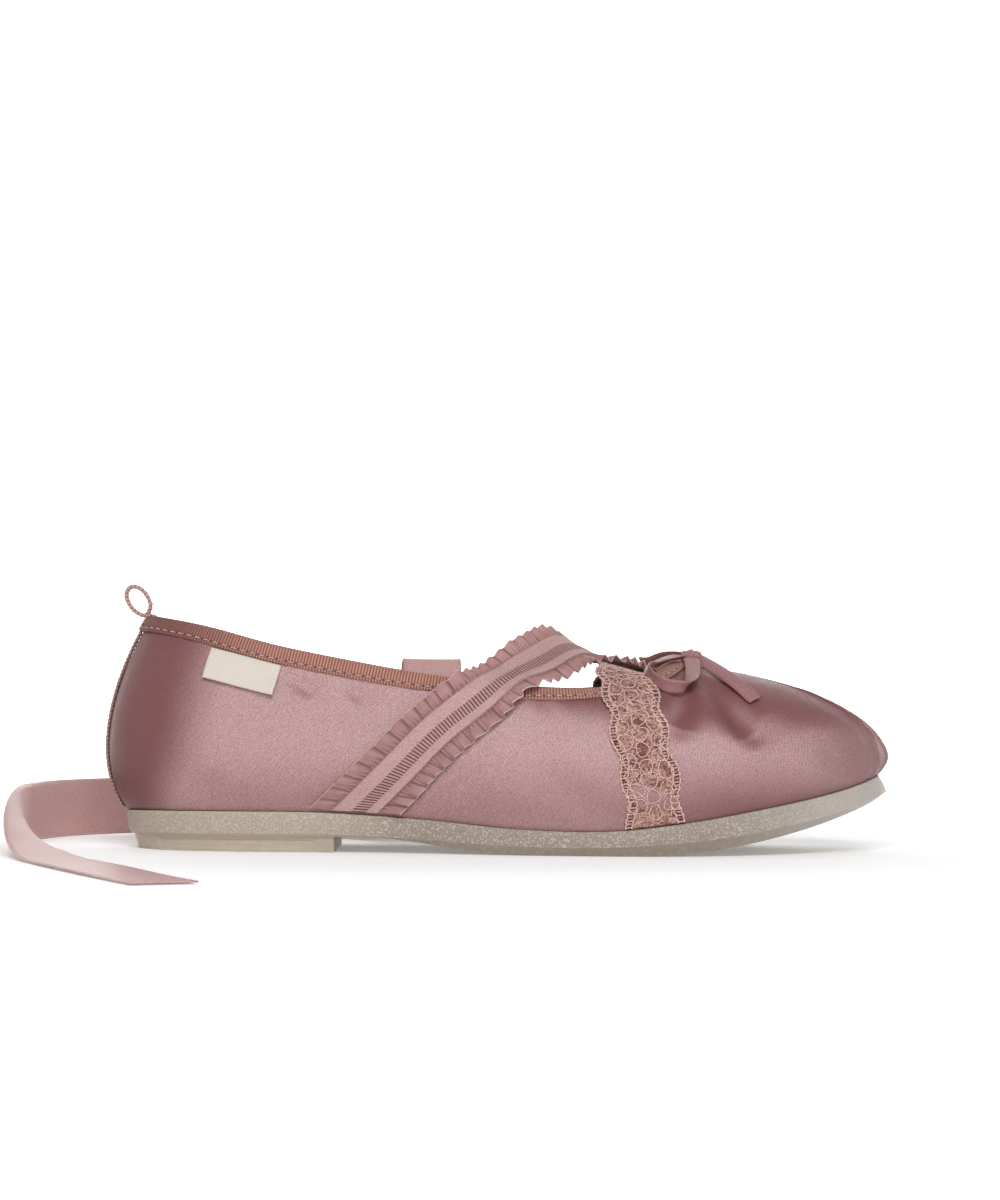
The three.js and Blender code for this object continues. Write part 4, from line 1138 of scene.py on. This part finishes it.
def heel_tape():
    steps, low, width, thickness, spacing = 150, 0.02, 5.0, 1.1, 0.22
    on_binding, bedded, flatter = 0.6, 0.6, 0.4
    crown_start, crown_end, crown_steps = 0.12 * math.pi, 0.98 * math.pi, 14
    inside_start, inside_end, inside_steps = 0.6, 7, 12
    up = np.linspace(low, 1, steps)
    point, _, upward, normal = wall_frame(np.full_like(up, LAST_ROW), up)
    below = (1 - up) * np.linalg.norm(upward, axis=-1)
    rise = on_binding * (1 - smoothstep(below, BINDING_OUTSIDE - 1, BINDING_OUTSIDE + 0.3))
    outer = point + normal * (rise + bedded * thickness)[:, None]
    rim, rim_normal, leave = (value[0] for value in rim_frame(np.array([float(LAST_ROW)])))
    middle = rim - rim_normal * (WALL / 2)
    over = WALL / 2 + on_binding + thickness / 2
    turn = np.linspace(crown_start, crown_end, crown_steps)[:, None]
    crown = middle + rim_normal * np.cos(turn) * over + leave * np.sin(turn) * (over - flatter)
    inside = crown[-1] - leave * np.linspace(inside_start, inside_end, inside_steps)[:, None]
    path = np.concatenate([outer, crown, inside])
    far = lengths_along(path)
    path = resample(path, far, np.arange(0, far[-1], spacing))
    points, flat = braided_grid(path, width, thickness)
    shape = Shape()
    shape.grid(points, flat, loop_columns=True)
    for end in (points[0], points[-1]):
        shape.add(end, [list(range(len(end)))])
    shape.make("braided_heel_tape", [BRAID], "braid", "heel_tape")


def pull_loop():
    width, thickness, steps, rings_per_stitch = 4.5, 1.4, 40, 7
    path = spline([(x, 0.0, z) for x, z in LOOP_ROUTE], steps, True)
    path = np.concatenate([path, path[:1]])
    far = lengths_along(path)
    rings = round(far[-1] / BRAID_PITCH) * rings_per_stitch
    path = resample(path, far, np.arange(rings) * far[-1] / rings)
    points, flat = braided_grid(path, width, thickness, True)
    shape = Shape()
    shape.grid(points, flat, loop_rows=True, loop_columns=True)
    shape.make("braided_pull_loop", [BRAID], "braid", "pull_loop")


def side_label():
    length, height, thickness, slope_down = 22.7, 9.8, 0.6, -0.25
    middle_x, middle_z, flare = -79.3, 56.0, 0.9
    columns, rows, ripple, plump = 40, 20, 0.12, 0.22
    corner_lift, corner_start, corner_top = 0.9, 0.25, 0.2
    a, b = np.meshgrid(np.linspace(-0.5, 0.5, columns), np.linspace(-0.5, 0.5, rows), indexing="ij")
    way = np.array([1, slope_down]) / math.hypot(1, slope_down)
    x = middle_x + a * length * way[0] - b * height * way[1]
    z = middle_z + a * length * way[1] + b * height * way[0]
    point, _, _, normal = wall_frame(*seat_on_wall(-1, x, z))
    corner = np.clip((a - corner_start) / (0.5 - corner_start), 0, 1) ** 2 * np.clip(corner_top - b, 0, 1)
    lift = GAP + flare * (0.5 - b) + corner_lift * corner + ripple * np.sin(a * 9 + b * 4)
    puff = plump * (1 - (2 * b) ** 4)
    front = point + normal * (lift + thickness + puff)[..., None]
    back = point + normal * lift[..., None]
    shape = Shape()
    shape.sheet(front, back, np.stack([a * length, b * height], -1))
    shape.make("woven_label", [LABEL_CLOTH], "label", "side_label")


# Straps
class Strap:
    """A band over the shoe: place(s, t, h) gives the point s along it, t across it and h above it."""

    def __init__(self, route, width, thickness):
        steps, columns, cut_rows, ease_rounds = 10, 9, 2, 10
        rows = [self.row(row, thickness) for row in route]
        points, facings, holds, overs = (np.array([row[k] for row in rows]) for k in range(4))
        middle, facing = spline(points, steps), spline(facings, steps)
        along = slope(middle)
        facing = unit(facing - along * dot(facing, along)[:, None])
        wide = np.cross(along, facing)
        count = len(middle)
        place = np.arange(count) / steps
        hold, over = (np.interp(place, np.arange(len(rows)), values) for values in (holds, overs))
        from_end = np.minimum(np.arange(count), count - 1 - np.arange(count)) / (cut_rows * steps)
        _, onward, _, _ = wall_frame(*nearest_on_wall(middle))
        slant = dot(onward, along) / np.where(from_end < 1, dot(onward, wide), 1)
        slant = slant * np.clip(1 - from_end, 0, 1)
        offset = np.linspace(-0.5, 0.5, columns) * width
        grid = middle[:, None] + wide[:, None] * offset[None, :, None]
        grid = grid + along[:, None] * (slant[:, None] * offset[None])[..., None]
        room = np.broadcast_to((over + thickness / 2)[:, None], grid.shape[:2])
        self.grid = settled(grid, np.broadcast_to(hold[:, None], grid.shape[:2]), room)
        for _ in range(ease_rounds):
            self.grid[1:-1] += (self.grid[:-2] + self.grid[2:] - 2 * self.grid[1:-1]) / 4
        self.facing, self.width, self.columns = facing, width, columns
        self.far = lengths_along(self.grid[:, columns // 2])
        self.length = self.far[-1]

    def row(self, row, thickness):
        """Middle point, facing, hold on the wall and extra clearance of one row of a route."""
        over, fall, tilt = (row.get(key, 0.0) for key in ("over", "fall", "tilt"))
        if "rim" in row:
            point, normal, leave = rim_frame(rim_at_length(row["side"], row["x"]))
            facing = normal * row.get("out", 1.0) + leave
            facing[0] = fall
            point = point + normal * (OVER_BINDING + over + thickness / 2) + leave * row["rim"]
            return point, unit(facing), 0.0, over
        if "side" in row:
            at, up = seat_on_wall(row["side"], row["x"], row["z"])
            point, _, upward, normal = wall_frame(at, up)
            return point + normal * (lift_at(up, upward) + over + thickness / 2), normal, 1.0, over
        point = np.array([row["x"], row["y"], row["z"]], float)
        return point, unit(np.array([fall, tilt, 1.0])), 0.0, over

    def rows_at(self, s):
        return np.interp(s, self.far, np.arange(len(self.far)))

    def base(self, s, t):
        rows = self.rows_at(s)
        across = (t / self.width + 0.5) * (self.columns - 1)
        i = np.clip(np.floor(rows).astype(int), 0, len(self.far) - 2)
        j = np.clip(np.floor(across).astype(int), 0, self.columns - 2)
        total = 0
        for a, row_share in enumerate(weights(rows - i)):
            row = np.clip(i + a - 1, 0, len(self.far) - 1)
            for b, share in enumerate(weights(across - j)):
                place = np.clip(j + b - 1, 0, self.columns - 1)
                total = total + (row_share * share)[..., None] * self.grid[row, place]
        return total

    def place(self, s, t, h):
        """Points and the strap's normals there; s is kept on the strap."""
        step = 0.4
        s, t, h = np.broadcast_arrays(s, t, h)
        low_s, high_s = np.clip(s - step, 0, self.length), np.clip(s + step, 0, self.length)
        along = self.base(high_s, t) - self.base(low_s, t)
        wide = self.base(s, t + step) - self.base(s, t - step)
        normal = unit(np.cross(wide, along))
        facing = self.facing[np.clip(np.round(self.rows_at(s)).astype(int), 0, len(self.far) - 1)]
        normal = normal * np.sign(dot(normal, facing))[..., None]
        return self.base(s, t) + normal * h[..., None], normal


def smooth_noise(length, pitch):
    """A smooth random line with values from -1 to 1."""
    knots = random.uniform(-1, 1, int(length / pitch) + 4)
    return lambda s: np.interp(s, np.arange(len(knots)) * pitch, knots)


def knife_pleats(part, size):
    """Pleats of the heel side, laid one over the next: tooth, height and width of the frill."""
    turn_back, height, width, uneven_height, uneven_width, tooth_width = 0.78, 1.15, 5.5, 0.3, 0.4, 0.4
    tooth = smoothstep(part, 0.0, turn_back) - smoothstep(part, turn_back, 1.0)
    lift = height * (1 + uneven_height * size) * tooth
    return tooth, lift, width + tooth_width * tooth + uneven_width * size


def flutes(part, size):
    """Round waves of the toe side: tooth, height and width of the frill."""
    height, width, uneven_height, uneven_width, tooth_width = 2.1, 5.7, 0.35, 0.5, -0.5
    tooth = 0.5 - 0.5 * np.cos(2 * math.pi * part)
    lift = height * (1 + uneven_height * size) * tooth
    return tooth, lift, width + tooth_width * tooth + uneven_width * size


def ruffle_strap():
    half_band, band_thickness, crown_height, crown_wave = 5.4, 0.8, 0.55, 0.12
    hem_thickness, tucked, drift_share, shear = 0.3, 0.3, 0.4, 1.1
    gather_height, gather_pitch, frill_height = 0.25, 0.27, 0.1
    band_step, band_columns, frill_step, frill_columns = 0.42, 19, 0.2, 15
    drift_pitch, size_pitch = 9.0, 6.0
    strap = Strap(RUFFLE_ROUTE, RUFFLE_WIDTH, RUFFLE_THICKNESS)
    s = np.arange(0.0, strap.length, band_step)
    t = np.linspace(-half_band, half_band, band_columns)
    band_s, band_t = np.meshgrid(s, t, indexing="ij")
    crown = crown_height + crown_wave * np.cos(band_t / half_band * math.pi * 2.2)
    front, _ = strap.place(band_s, band_t, crown)
    back, _ = strap.place(band_s, band_t, crown - band_thickness)
    shape = Shape()
    shape.sheet(front, back, np.stack([band_s, band_t], -1))
    reach = np.linspace(0, 1, frill_columns)
    s = np.arange(0.0, strap.length, frill_step)
    for side, pleat, frill, rise in ((-1, 4.4, knife_pleats, 0.5), (1, 5.2, flutes, 1.0)):
        drift = smooth_noise(strap.length, drift_pitch)
        size = smooth_noise(strap.length, size_pitch)
        phase = s / pleat + drift_share * drift(s)
        tooth, lift, width = frill(phase - np.floor(phase), size(s))
        gather = gather_height * np.sin(2 * math.pi * phase / gather_pitch)
        height = frill_height + reach[None] ** rise * lift[:, None] + (1 - reach[None]) ** 2 * gather[:, None]
        frill_t = side * (half_band - tucked + reach[None] * width[:, None])
        frill_s = np.clip(s[:, None] - shear * (tooth - 0.5)[:, None] * reach[None], 0, strap.length)
        front, normal = strap.place(frill_s, frill_t, height)
        shape.sheet(front, front - normal * hem_thickness, lattice(phase, reach), 1)
    shape.make("ruffled_elastic_strap", [ELASTIC, FRILL], "elastic", "ruffle_strap")


def lace_half(s):
    """Half the width of the lace, with its scalloped edge."""
    middle, depth, scallop = 8.1, 0.9, 15.0
    return middle + depth * np.cos(2 * math.pi * s / scallop)


def lace_figures(shape, strap):
    """Three columns of uneven rings, with short threads that run out of them."""
    pitch, columns, margin, jitter = 5.1, (-4.9, 0.0, 4.9), 2.4, 0.45
    size_range, oval_range, lobes, wobble_depth = (2.05, 2.6), (0.85, 1.15), 3, 0.09
    ring_steps, ring_height, beads, bead_radius, bead_swell, turn_length = 22, 0.5, 11, 0.2, 0.1, 2.1
    count, first, run, bar_limit, bar_height, bar_radius, bar_steps = 170, 0.6, 3.2, 6.6, 0.38, 0.15, 6
    turn = np.arange(ring_steps) * 2 * math.pi / ring_steps
    middles = []
    for number, t in enumerate(columns):
        for k in range(int(strap.length / pitch) + 1):
            s = (k + 0.25 + 0.5 * (number % 2)) * pitch
            if margin < s < strap.length - margin:
                middles.append((s, t))
    middles = np.array(middles) + random.uniform(-jitter, jitter, (len(middles), 2))
    size = random.uniform(*size_range, len(middles))
    oval = random.uniform(*oval_range, len(middles))
    wobble = 1 + wobble_depth * np.sin(lobes * turn[None] + random.uniform(0, 6, len(middles))[:, None])
    ring_s = middles[:, :1] + (size * oval)[:, None] * wobble * np.cos(turn)
    ring_t = middles[:, 1:] + (size / oval)[:, None] * wobble * np.sin(turn)
    paths, normal = strap.place(np.clip(ring_s, 0, strap.length), ring_t, ring_height)
    bead = bead_radius + bead_swell * np.sin(turn * beads)
    flat = np.stack(np.broadcast_arrays(turn[None] * turn_length, 0 * ring_s), -1)
    shape.tubes(paths, normal, bead[None], closed=True, flat=flat, slot=1)
    bars = random.integers(0, len(middles), count)
    heading = random.uniform(0, 2 * math.pi, count)
    way = first + run * np.linspace(0, 1, bar_steps)
    bar_s = middles[bars, :1] + np.cos(heading)[:, None] * way
    bar_t = np.clip(middles[bars, 1:] + np.sin(heading)[:, None] * way, -bar_limit, bar_limit)
    paths, normal = strap.place(np.clip(bar_s, 0, strap.length), bar_t, bar_height)
    shape.tubes(paths, normal, bar_radius, 5, flat=np.stack([bar_s, bar_t], -1), slot=1)


def lace_edges(shape, strap):
    """Two threads along each edge, with a bar from one to the other beside each eyelet."""
    inset, outset, wave_depth, thread_radius, thread_height = 2.0, 0.15, 0.2, 0.26, 0.35
    bar_first, bar_run, bar_radius, bar_height, bar_steps, edge_step = 0.5, 2.1, 0.24, 0.3, 6, 0.3
    edge_s = np.arange(0.0, strap.length, edge_step)
    wave = wave_depth * np.sin(2 * math.pi * edge_s / LACE_PICOT)
    starts = np.arange(bar_first, strap.length - LACE_PICOT, LACE_PICOT)
    reach = np.linspace(0, 1, bar_steps)
    bar_s = starts[:, None] + 0 * reach[None]
    for side in (-1, 1):
        for inward in (inset, -outset):
            edge_t = side * (lace_half(edge_s) - inward + wave)
            paths, normal = strap.place(edge_s, edge_t, thread_height)
            flat = np.stack([edge_s, edge_t], -1)[None]
            shape.tubes(paths[None], normal[None], thread_radius, flat=flat, slot=1)
        bar_t = side * (lace_half(bar_s) - inset + bar_run * reach[None])
        paths, normal = strap.place(bar_s, bar_t, bar_height)
        shape.tubes(paths, normal, bar_radius, 5, flat=np.stack([bar_s, bar_t], -1), slot=1)


def lace_strap():
    columns, net_step, front_height, back_height = 25, 0.6, 0.15, -0.25
    strap = Strap(LACE_ROUTE, LACE_WIDTH, LACE_THICKNESS)
    s = np.arange(0.0, strap.length, net_step)
    q = np.linspace(-1, 1, columns)
    net_t = q[None] * lace_half(s)[:, None]
    net_s = np.broadcast_to(s[:, None], net_t.shape)
    front, _ = strap.place(net_s, net_t, front_height)
    back, _ = strap.place(net_s, net_t, back_height)
    shape = Shape()
    shape.sheet(front, back, lattice(s, np.abs(q)))
    lace_figures(shape, strap)
    lace_edges(shape, strap)
    shape.make("elastic_lace_strap", [LACE_NET, LACE_THREAD], "lace", "lace_strap")


# Bow
def tape_sheet(shape, path, wide, closed):
    """A narrow tape along a path; gives back its two edges."""
    columns, cup = 9, 0.25
    along = slope(path, closed)
    wide = unit(wide - along * dot(wide, along)[:, None])
    facing = np.cross(along, wide)
    q = np.linspace(-1, 1, columns)
    across = q * BOW_TAPE_WIDTH / 2
    bend = cup * (q ** 2)
    middle = path[:, None] + wide[:, None] * across[None, :, None]
    front = middle + facing[:, None] * (bend + BOW_TAPE_THICKNESS / 3)[None, :, None]
    back = middle + facing[:, None] * (bend - BOW_TAPE_THICKNESS / 3)[None, :, None]
    far = lengths_along(path)
    shape.sheet(front, back, lattice(far, across), looped=closed)
    return [((front[:, side] + back[:, side]) / 2, facing, closed, far) for side in (0, -1)]


def bow():
    loop_steps, tail_steps, edge_radius, flat_scale = 14, 16, 0.3, 3
    knot_turns, knot_rises = np.linspace(0, 2 * math.pi, 65), np.linspace(0, math.pi, 33)
    shape = Shape()
    edges = []
    for name, side in (("near", -1), ("far", 1)):
        loop, tail = np.array(BOW_LOOPS[name], float), np.array(BOW_TAIL, float)
        if side > 0:
            tail[:, 1] = 2 * BOW_MIDDLE_Y - tail[:, 1]
        path = spline(settled(loop[:, :3], np.zeros(len(loop)), loop[:, 3]), loop_steps, True)
        edges += tape_sheet(shape, path, spline(loop[:, 4:], loop_steps, True), True)
        path = spline(settled(tail[:, :3], np.zeros(len(tail)), tail[:, 3]), tail_steps)
        stand = np.array([0, 0.72 * side, 0.69])
        edges += tape_sheet(shape, path, np.cross(slope(path), stand), False)
    for edge, facing, closed, far in edges:
        flat = np.stack([far, 0 * far], -1)
        shape.tubes(edge[None], facing[None], edge_radius, closed=closed, flat=flat[None])
    turn, rise = np.meshgrid(knot_turns, knot_rises, indexing="ij")
    ball = np.stack([np.cos(turn) * np.sin(rise), np.sin(turn) * np.sin(rise), np.cos(rise)], -1)
    pinch = 1 + waves(ball[..., 0], ((0.07, 9, 1.5), (0.04, 17, 0)))
    points = np.array(BOW_KNOT["middle"]) + ball * pinch[..., None] * np.array(BOW_KNOT["size"]) / 2
    shape.grid(points, np.stack([turn, rise], -1) * flat_scale, 1, turned=True)
    shape.make("satin_bow", [BOW_SATIN, KNOT_SATIN], "bow_tape", "bow")


# Sole
def tread_height(x):
    part = np.clip((x - ARCH_START_X) / (ARCH_END_X - ARCH_START_X), 0, 1)
    arch = HEEL_HEIGHT * (1 + np.cos(math.pi * part)) / 2
    spring = np.clip((x - SPRING_START_X) / (SPRING_END_X - SPRING_START_X), 0, None)
    return np.where(x < SPRING_START_X, arch, TOE_SPRING * spring ** SPRING_POWER)


def foot_loop(at, offset, z):
    """The featherline moved outward by an offset and set to a height."""
    point = np.stack([column("foot_x", at), column("foot_y", at), 0 * at], -1)
    point = point + outward(at) * np.broadcast_to(offset, at.shape)[:, None]
    point[:, 2] = z
    return point


def cap(shape, ring, slot, turned):
    """Closes an outline that starts at the toe with rows that run straight from side to side."""
    columns = 15
    half = len(ring) // 2
    medial = np.concatenate([ring[:1], ring[:half - 1:-1]])
    points = bridge(ring[:half + 1], medial, columns)
    shape.grid(points, points[..., :2], slot, turned=turned)


def outsole():
    per_row, lip, bulge, top_inset, flat_height = 16, 0.35, 0.18, 1.5, 12
    bevel_parts, wall_parts = (0.08, 0.35, 0.65, 0.92), (0.0, 0.06, 0.3, 0.6, 0.9, 0.96)
    at = np.arange(TURN * per_row) / per_row
    foot_z, wall, flare, tuck = (column(name, at) for name in ("foot_z", "wall", "flare", "tuck"))
    low = SOLE_FLANGE + flare + TOE_LIP * bell(toe_rows(at), 1.0)
    bottom = foot_loop(at, low - tuck, 0)
    bottom[:, 2] = tread_height(bottom[:, 0])
    bevel_z = foot_z - wall
    rings = [bottom]
    for part in bevel_parts:
        rings.append(foot_loop(at, low - tuck * (1 - part), bottom[:, 2] + (bevel_z - bottom[:, 2]) * part))
    bevel_rings = len(rings)
    for part in wall_parts:
        offset = low + (SOLE_FLANGE - low) * part + bulge * math.sin(math.pi * part)
        rings.append(foot_loop(at, offset, bevel_z + wall * part))
    rings.append(foot_loop(at, SOLE_FLANGE - lip * 0.3, foot_z - 0.02))
    rings.append(foot_loop(at, SOLE_FLANGE - lip, foot_z))
    rings.append(foot_loop(at, -top_inset, foot_z))
    points = np.stack(rings, 1)
    girth = lengths_along(foot_loop(at, low, foot_z))
    flat = lattice(girth, np.linspace(0, flat_height, len(rings)))
    shape = Shape()
    shape.grid(points[:, :bevel_rings + 1], flat[:, :bevel_rings + 1], 1, loop_rows=True, turned=True)
    shape.grid(points[:, bevel_rings:], flat[:, bevel_rings:], 0, loop_rows=True, turned=True)
    cap(shape, points[:, 0], 2, False)
    cap(shape, points[:, -1], 0, True)
    shape.make("crepe_outsole", [RUBBER, RUBBER_BEVEL, TREAD], "rubber", "outsole")


def heel_block():
    steps, columns, top_inset, bottom_inset = 241, 9, 1.5, 3.2
    tooth_depth, tooth_pitch, tooth_top = 0.22, 1.9, 0.1
    panel_start, panel_end, panel_depth, panel_low, panel_high = 6, 7, 0.45, 0.09, 0.72
    rear_start, rear_end = 106.6, 107.4
    # Share of the height, and how far the side stands out there: a rounded foot and one groove
    levels = [
        (0.0, 0.25), (0.06, 0), (0.1, 0), (0.45, 0), (0.71, 0),
        (0.73, -0.5), (0.79, -0.5), (0.81, 0), (1.0, 0),
    ]
    front = row_at_length("foot_x", HEEL_BREAST_X)
    at = front + (LAST_ROW - front) * np.linspace(0, 2, steps)
    edge = foot_loop(at, 0, 0)
    far = lengths_along(edge)
    panel = window(far, panel_start, panel_end, far[-1] - panel_end, far[-1] - panel_start)
    side_panel = panel * (1 - smoothstep(-edge[:, 0], rear_start, rear_end))
    teeth = tooth_depth * np.sign(np.sin(far * 2 * math.pi / tooth_pitch)) * panel
    rings = []
    for part, stand in levels:
        inset = bottom_inset + (top_inset - bottom_inset) * part
        if panel_low < part < panel_high:
            stand = stand - panel_depth
        shift = SOLE_FLANGE + column("flare", at) - inset + stand * side_panel + teeth * (part < tooth_top)
        ring = foot_loop(at, shift, HEEL_HEIGHT * part)
        ring[:, 0] = np.minimum(ring[:, 0], HEEL_BREAST_X)
        rings.append(ring)
    points = np.stack(rings, 1)
    shape = Shape()
    shape.grid(points, lattice(far, np.linspace(0, HEEL_HEIGHT, len(levels))), turned=True)
    half = len(at) // 2
    for level, turned in ((0, False), (-1, True)):
        ring = points[:, level]
        shape.grid(bridge(ring[:half + 1], ring[:half - 1:-1], columns), None, 1, turned=turned)
    shape.grid(bridge(points[0], points[-1], columns).swapaxes(0, 1))
    shape.make("heel_lift", [HEEL_RUBBER, TREAD], "heel_rubber", "heel_block")


def insole():
    per_row = 10
    # Rounded edge of the sock: inset and height
    edge = [(0.2, 0.05), (0.0, 0.5), (0.0, 1.6), (0.4, 2.2), (1.4, INSOLE_THICKNESS)]
    at = np.arange(TURN * per_row) / per_row
    base = column("foot_z", at) + GAP
    points = np.stack([foot_loop(at, -INSOLE_INSET - inset, base + rise) for inset, rise in edge], 1)
    shape = Shape()
    shape.grid(points, points[..., :2], loop_rows=True, turned=True)
    cap(shape, points[:, 0], 0, False)
    cap(shape, points[:, -1], 0, True)
    shape.make("sock_insole", [SOCK], "sock", "insole")


# Stage and light
def floor_paint():
    """White floor that glows more the further it is from the shoe, so that only the shadows are grey."""
    near_glow, middle_glow, far_glow = 0.18, 0.55, 0.3
    middle_place, far_place = (0.16, 0.55), (0.6, 2.0)
    paint = Paint("white_floor", Roughness=0.9, Specular_IOR_Level=0.1, Base_Color=colour(246, 246, 246),
                  Emission_Color=(1.0, 1.0, 1.0, 1.0))
    far = paint.add("ShaderNodeVectorMath", {0: paint.place()}, operation="LENGTH").outputs["Value"]
    glow = paint.math("MULTIPLY_ADD", paint.spread(far, *middle_place), middle_glow, near_glow)
    glow = paint.plus(glow, paint.times(paint.spread(far, *far_place), far_glow))
    paint.feed("Emission Strength", glow)
    return paint.material


def stage():
    half, front, back, rise, radius, steps, world_light = 7.0, -7.0, 3.2, 3.0, 0.8, 12, 0.06
    profile = [(front, 0.0), (back - radius, 0.0)]
    for k in range(1, steps + 1):
        angle = k / steps * math.pi / 2
        profile.append((back - radius + radius * math.sin(angle), radius - radius * math.cos(angle)))
    profile.append((back, rise))
    points = [(x, y, z) for y, z in profile for x in (-half, half)]
    faces = [(2 * k, 2 * k + 1, 2 * k + 3, 2 * k + 2) for k in range(len(profile) - 1)]
    mesh = bpy.data.meshes.new("floor")
    mesh.from_pydata(points, [], faces)
    mesh.materials.append(floor_paint())
    mesh.polygons.foreach_set("use_smooth", np.ones(len(mesh.polygons), bool))
    obj = link(bpy.data.objects.new("floor", mesh))
    world = bpy.data.worlds.new("studio")
    bpy.context.scene.world = world
    world.use_nodes = True
    background = world.node_tree.nodes["Background"]
    background.inputs["Color"].default_value = (1.0, 1.0, 1.0, 1.0)
    background.inputs["Strength"].default_value = world_light
    bpy.context.scene.view_settings.view_transform = "Standard"


def area_light(name, place, target, size, power):
    data = bpy.data.lights.new(name, "AREA")
    data.shape = "RECTANGLE"
    data.size, data.size_y = size
    data.energy = power
    obj = link(bpy.data.objects.new(name, data))
    obj.location = place
    obj.rotation_euler = (Vector(target) - Vector(place)).to_track_quat("-Z", "Y").to_euler()


# Lights: name, place, target and size in metres, power in watts
LIGHTS = [
    ("key", (0.05, -1.45, 1.05), (0, 0, 0.03), (0.8, 0.6), 21),
    ("top", (0.0, 0.3, 1.6), (0, 0, 0), (1.6, 1.2), 6),
    ("front", (0.1, -1.9, 0.3), (0, 0, 0.04), (0.7, 0.5), 6),
    ("rim", (-1.4, -0.1, 0.5), (-0.11, 0, 0.05), (0.5, 0.5), 1.0),
    ("backdrop", (0.0, 1.6, 1.4), (0, 3.2, 0.5), (3.0, 1.0), 50),
]

camera()
ankle_ribbon()
outsole()
heel_block()
insole()
upper()
collar_binding()
heel_tape()
pull_loop()
side_label()
ruffle_strap()
lace_strap()
bow()
stage()
for light in LIGHTS:
    area_light(*light)
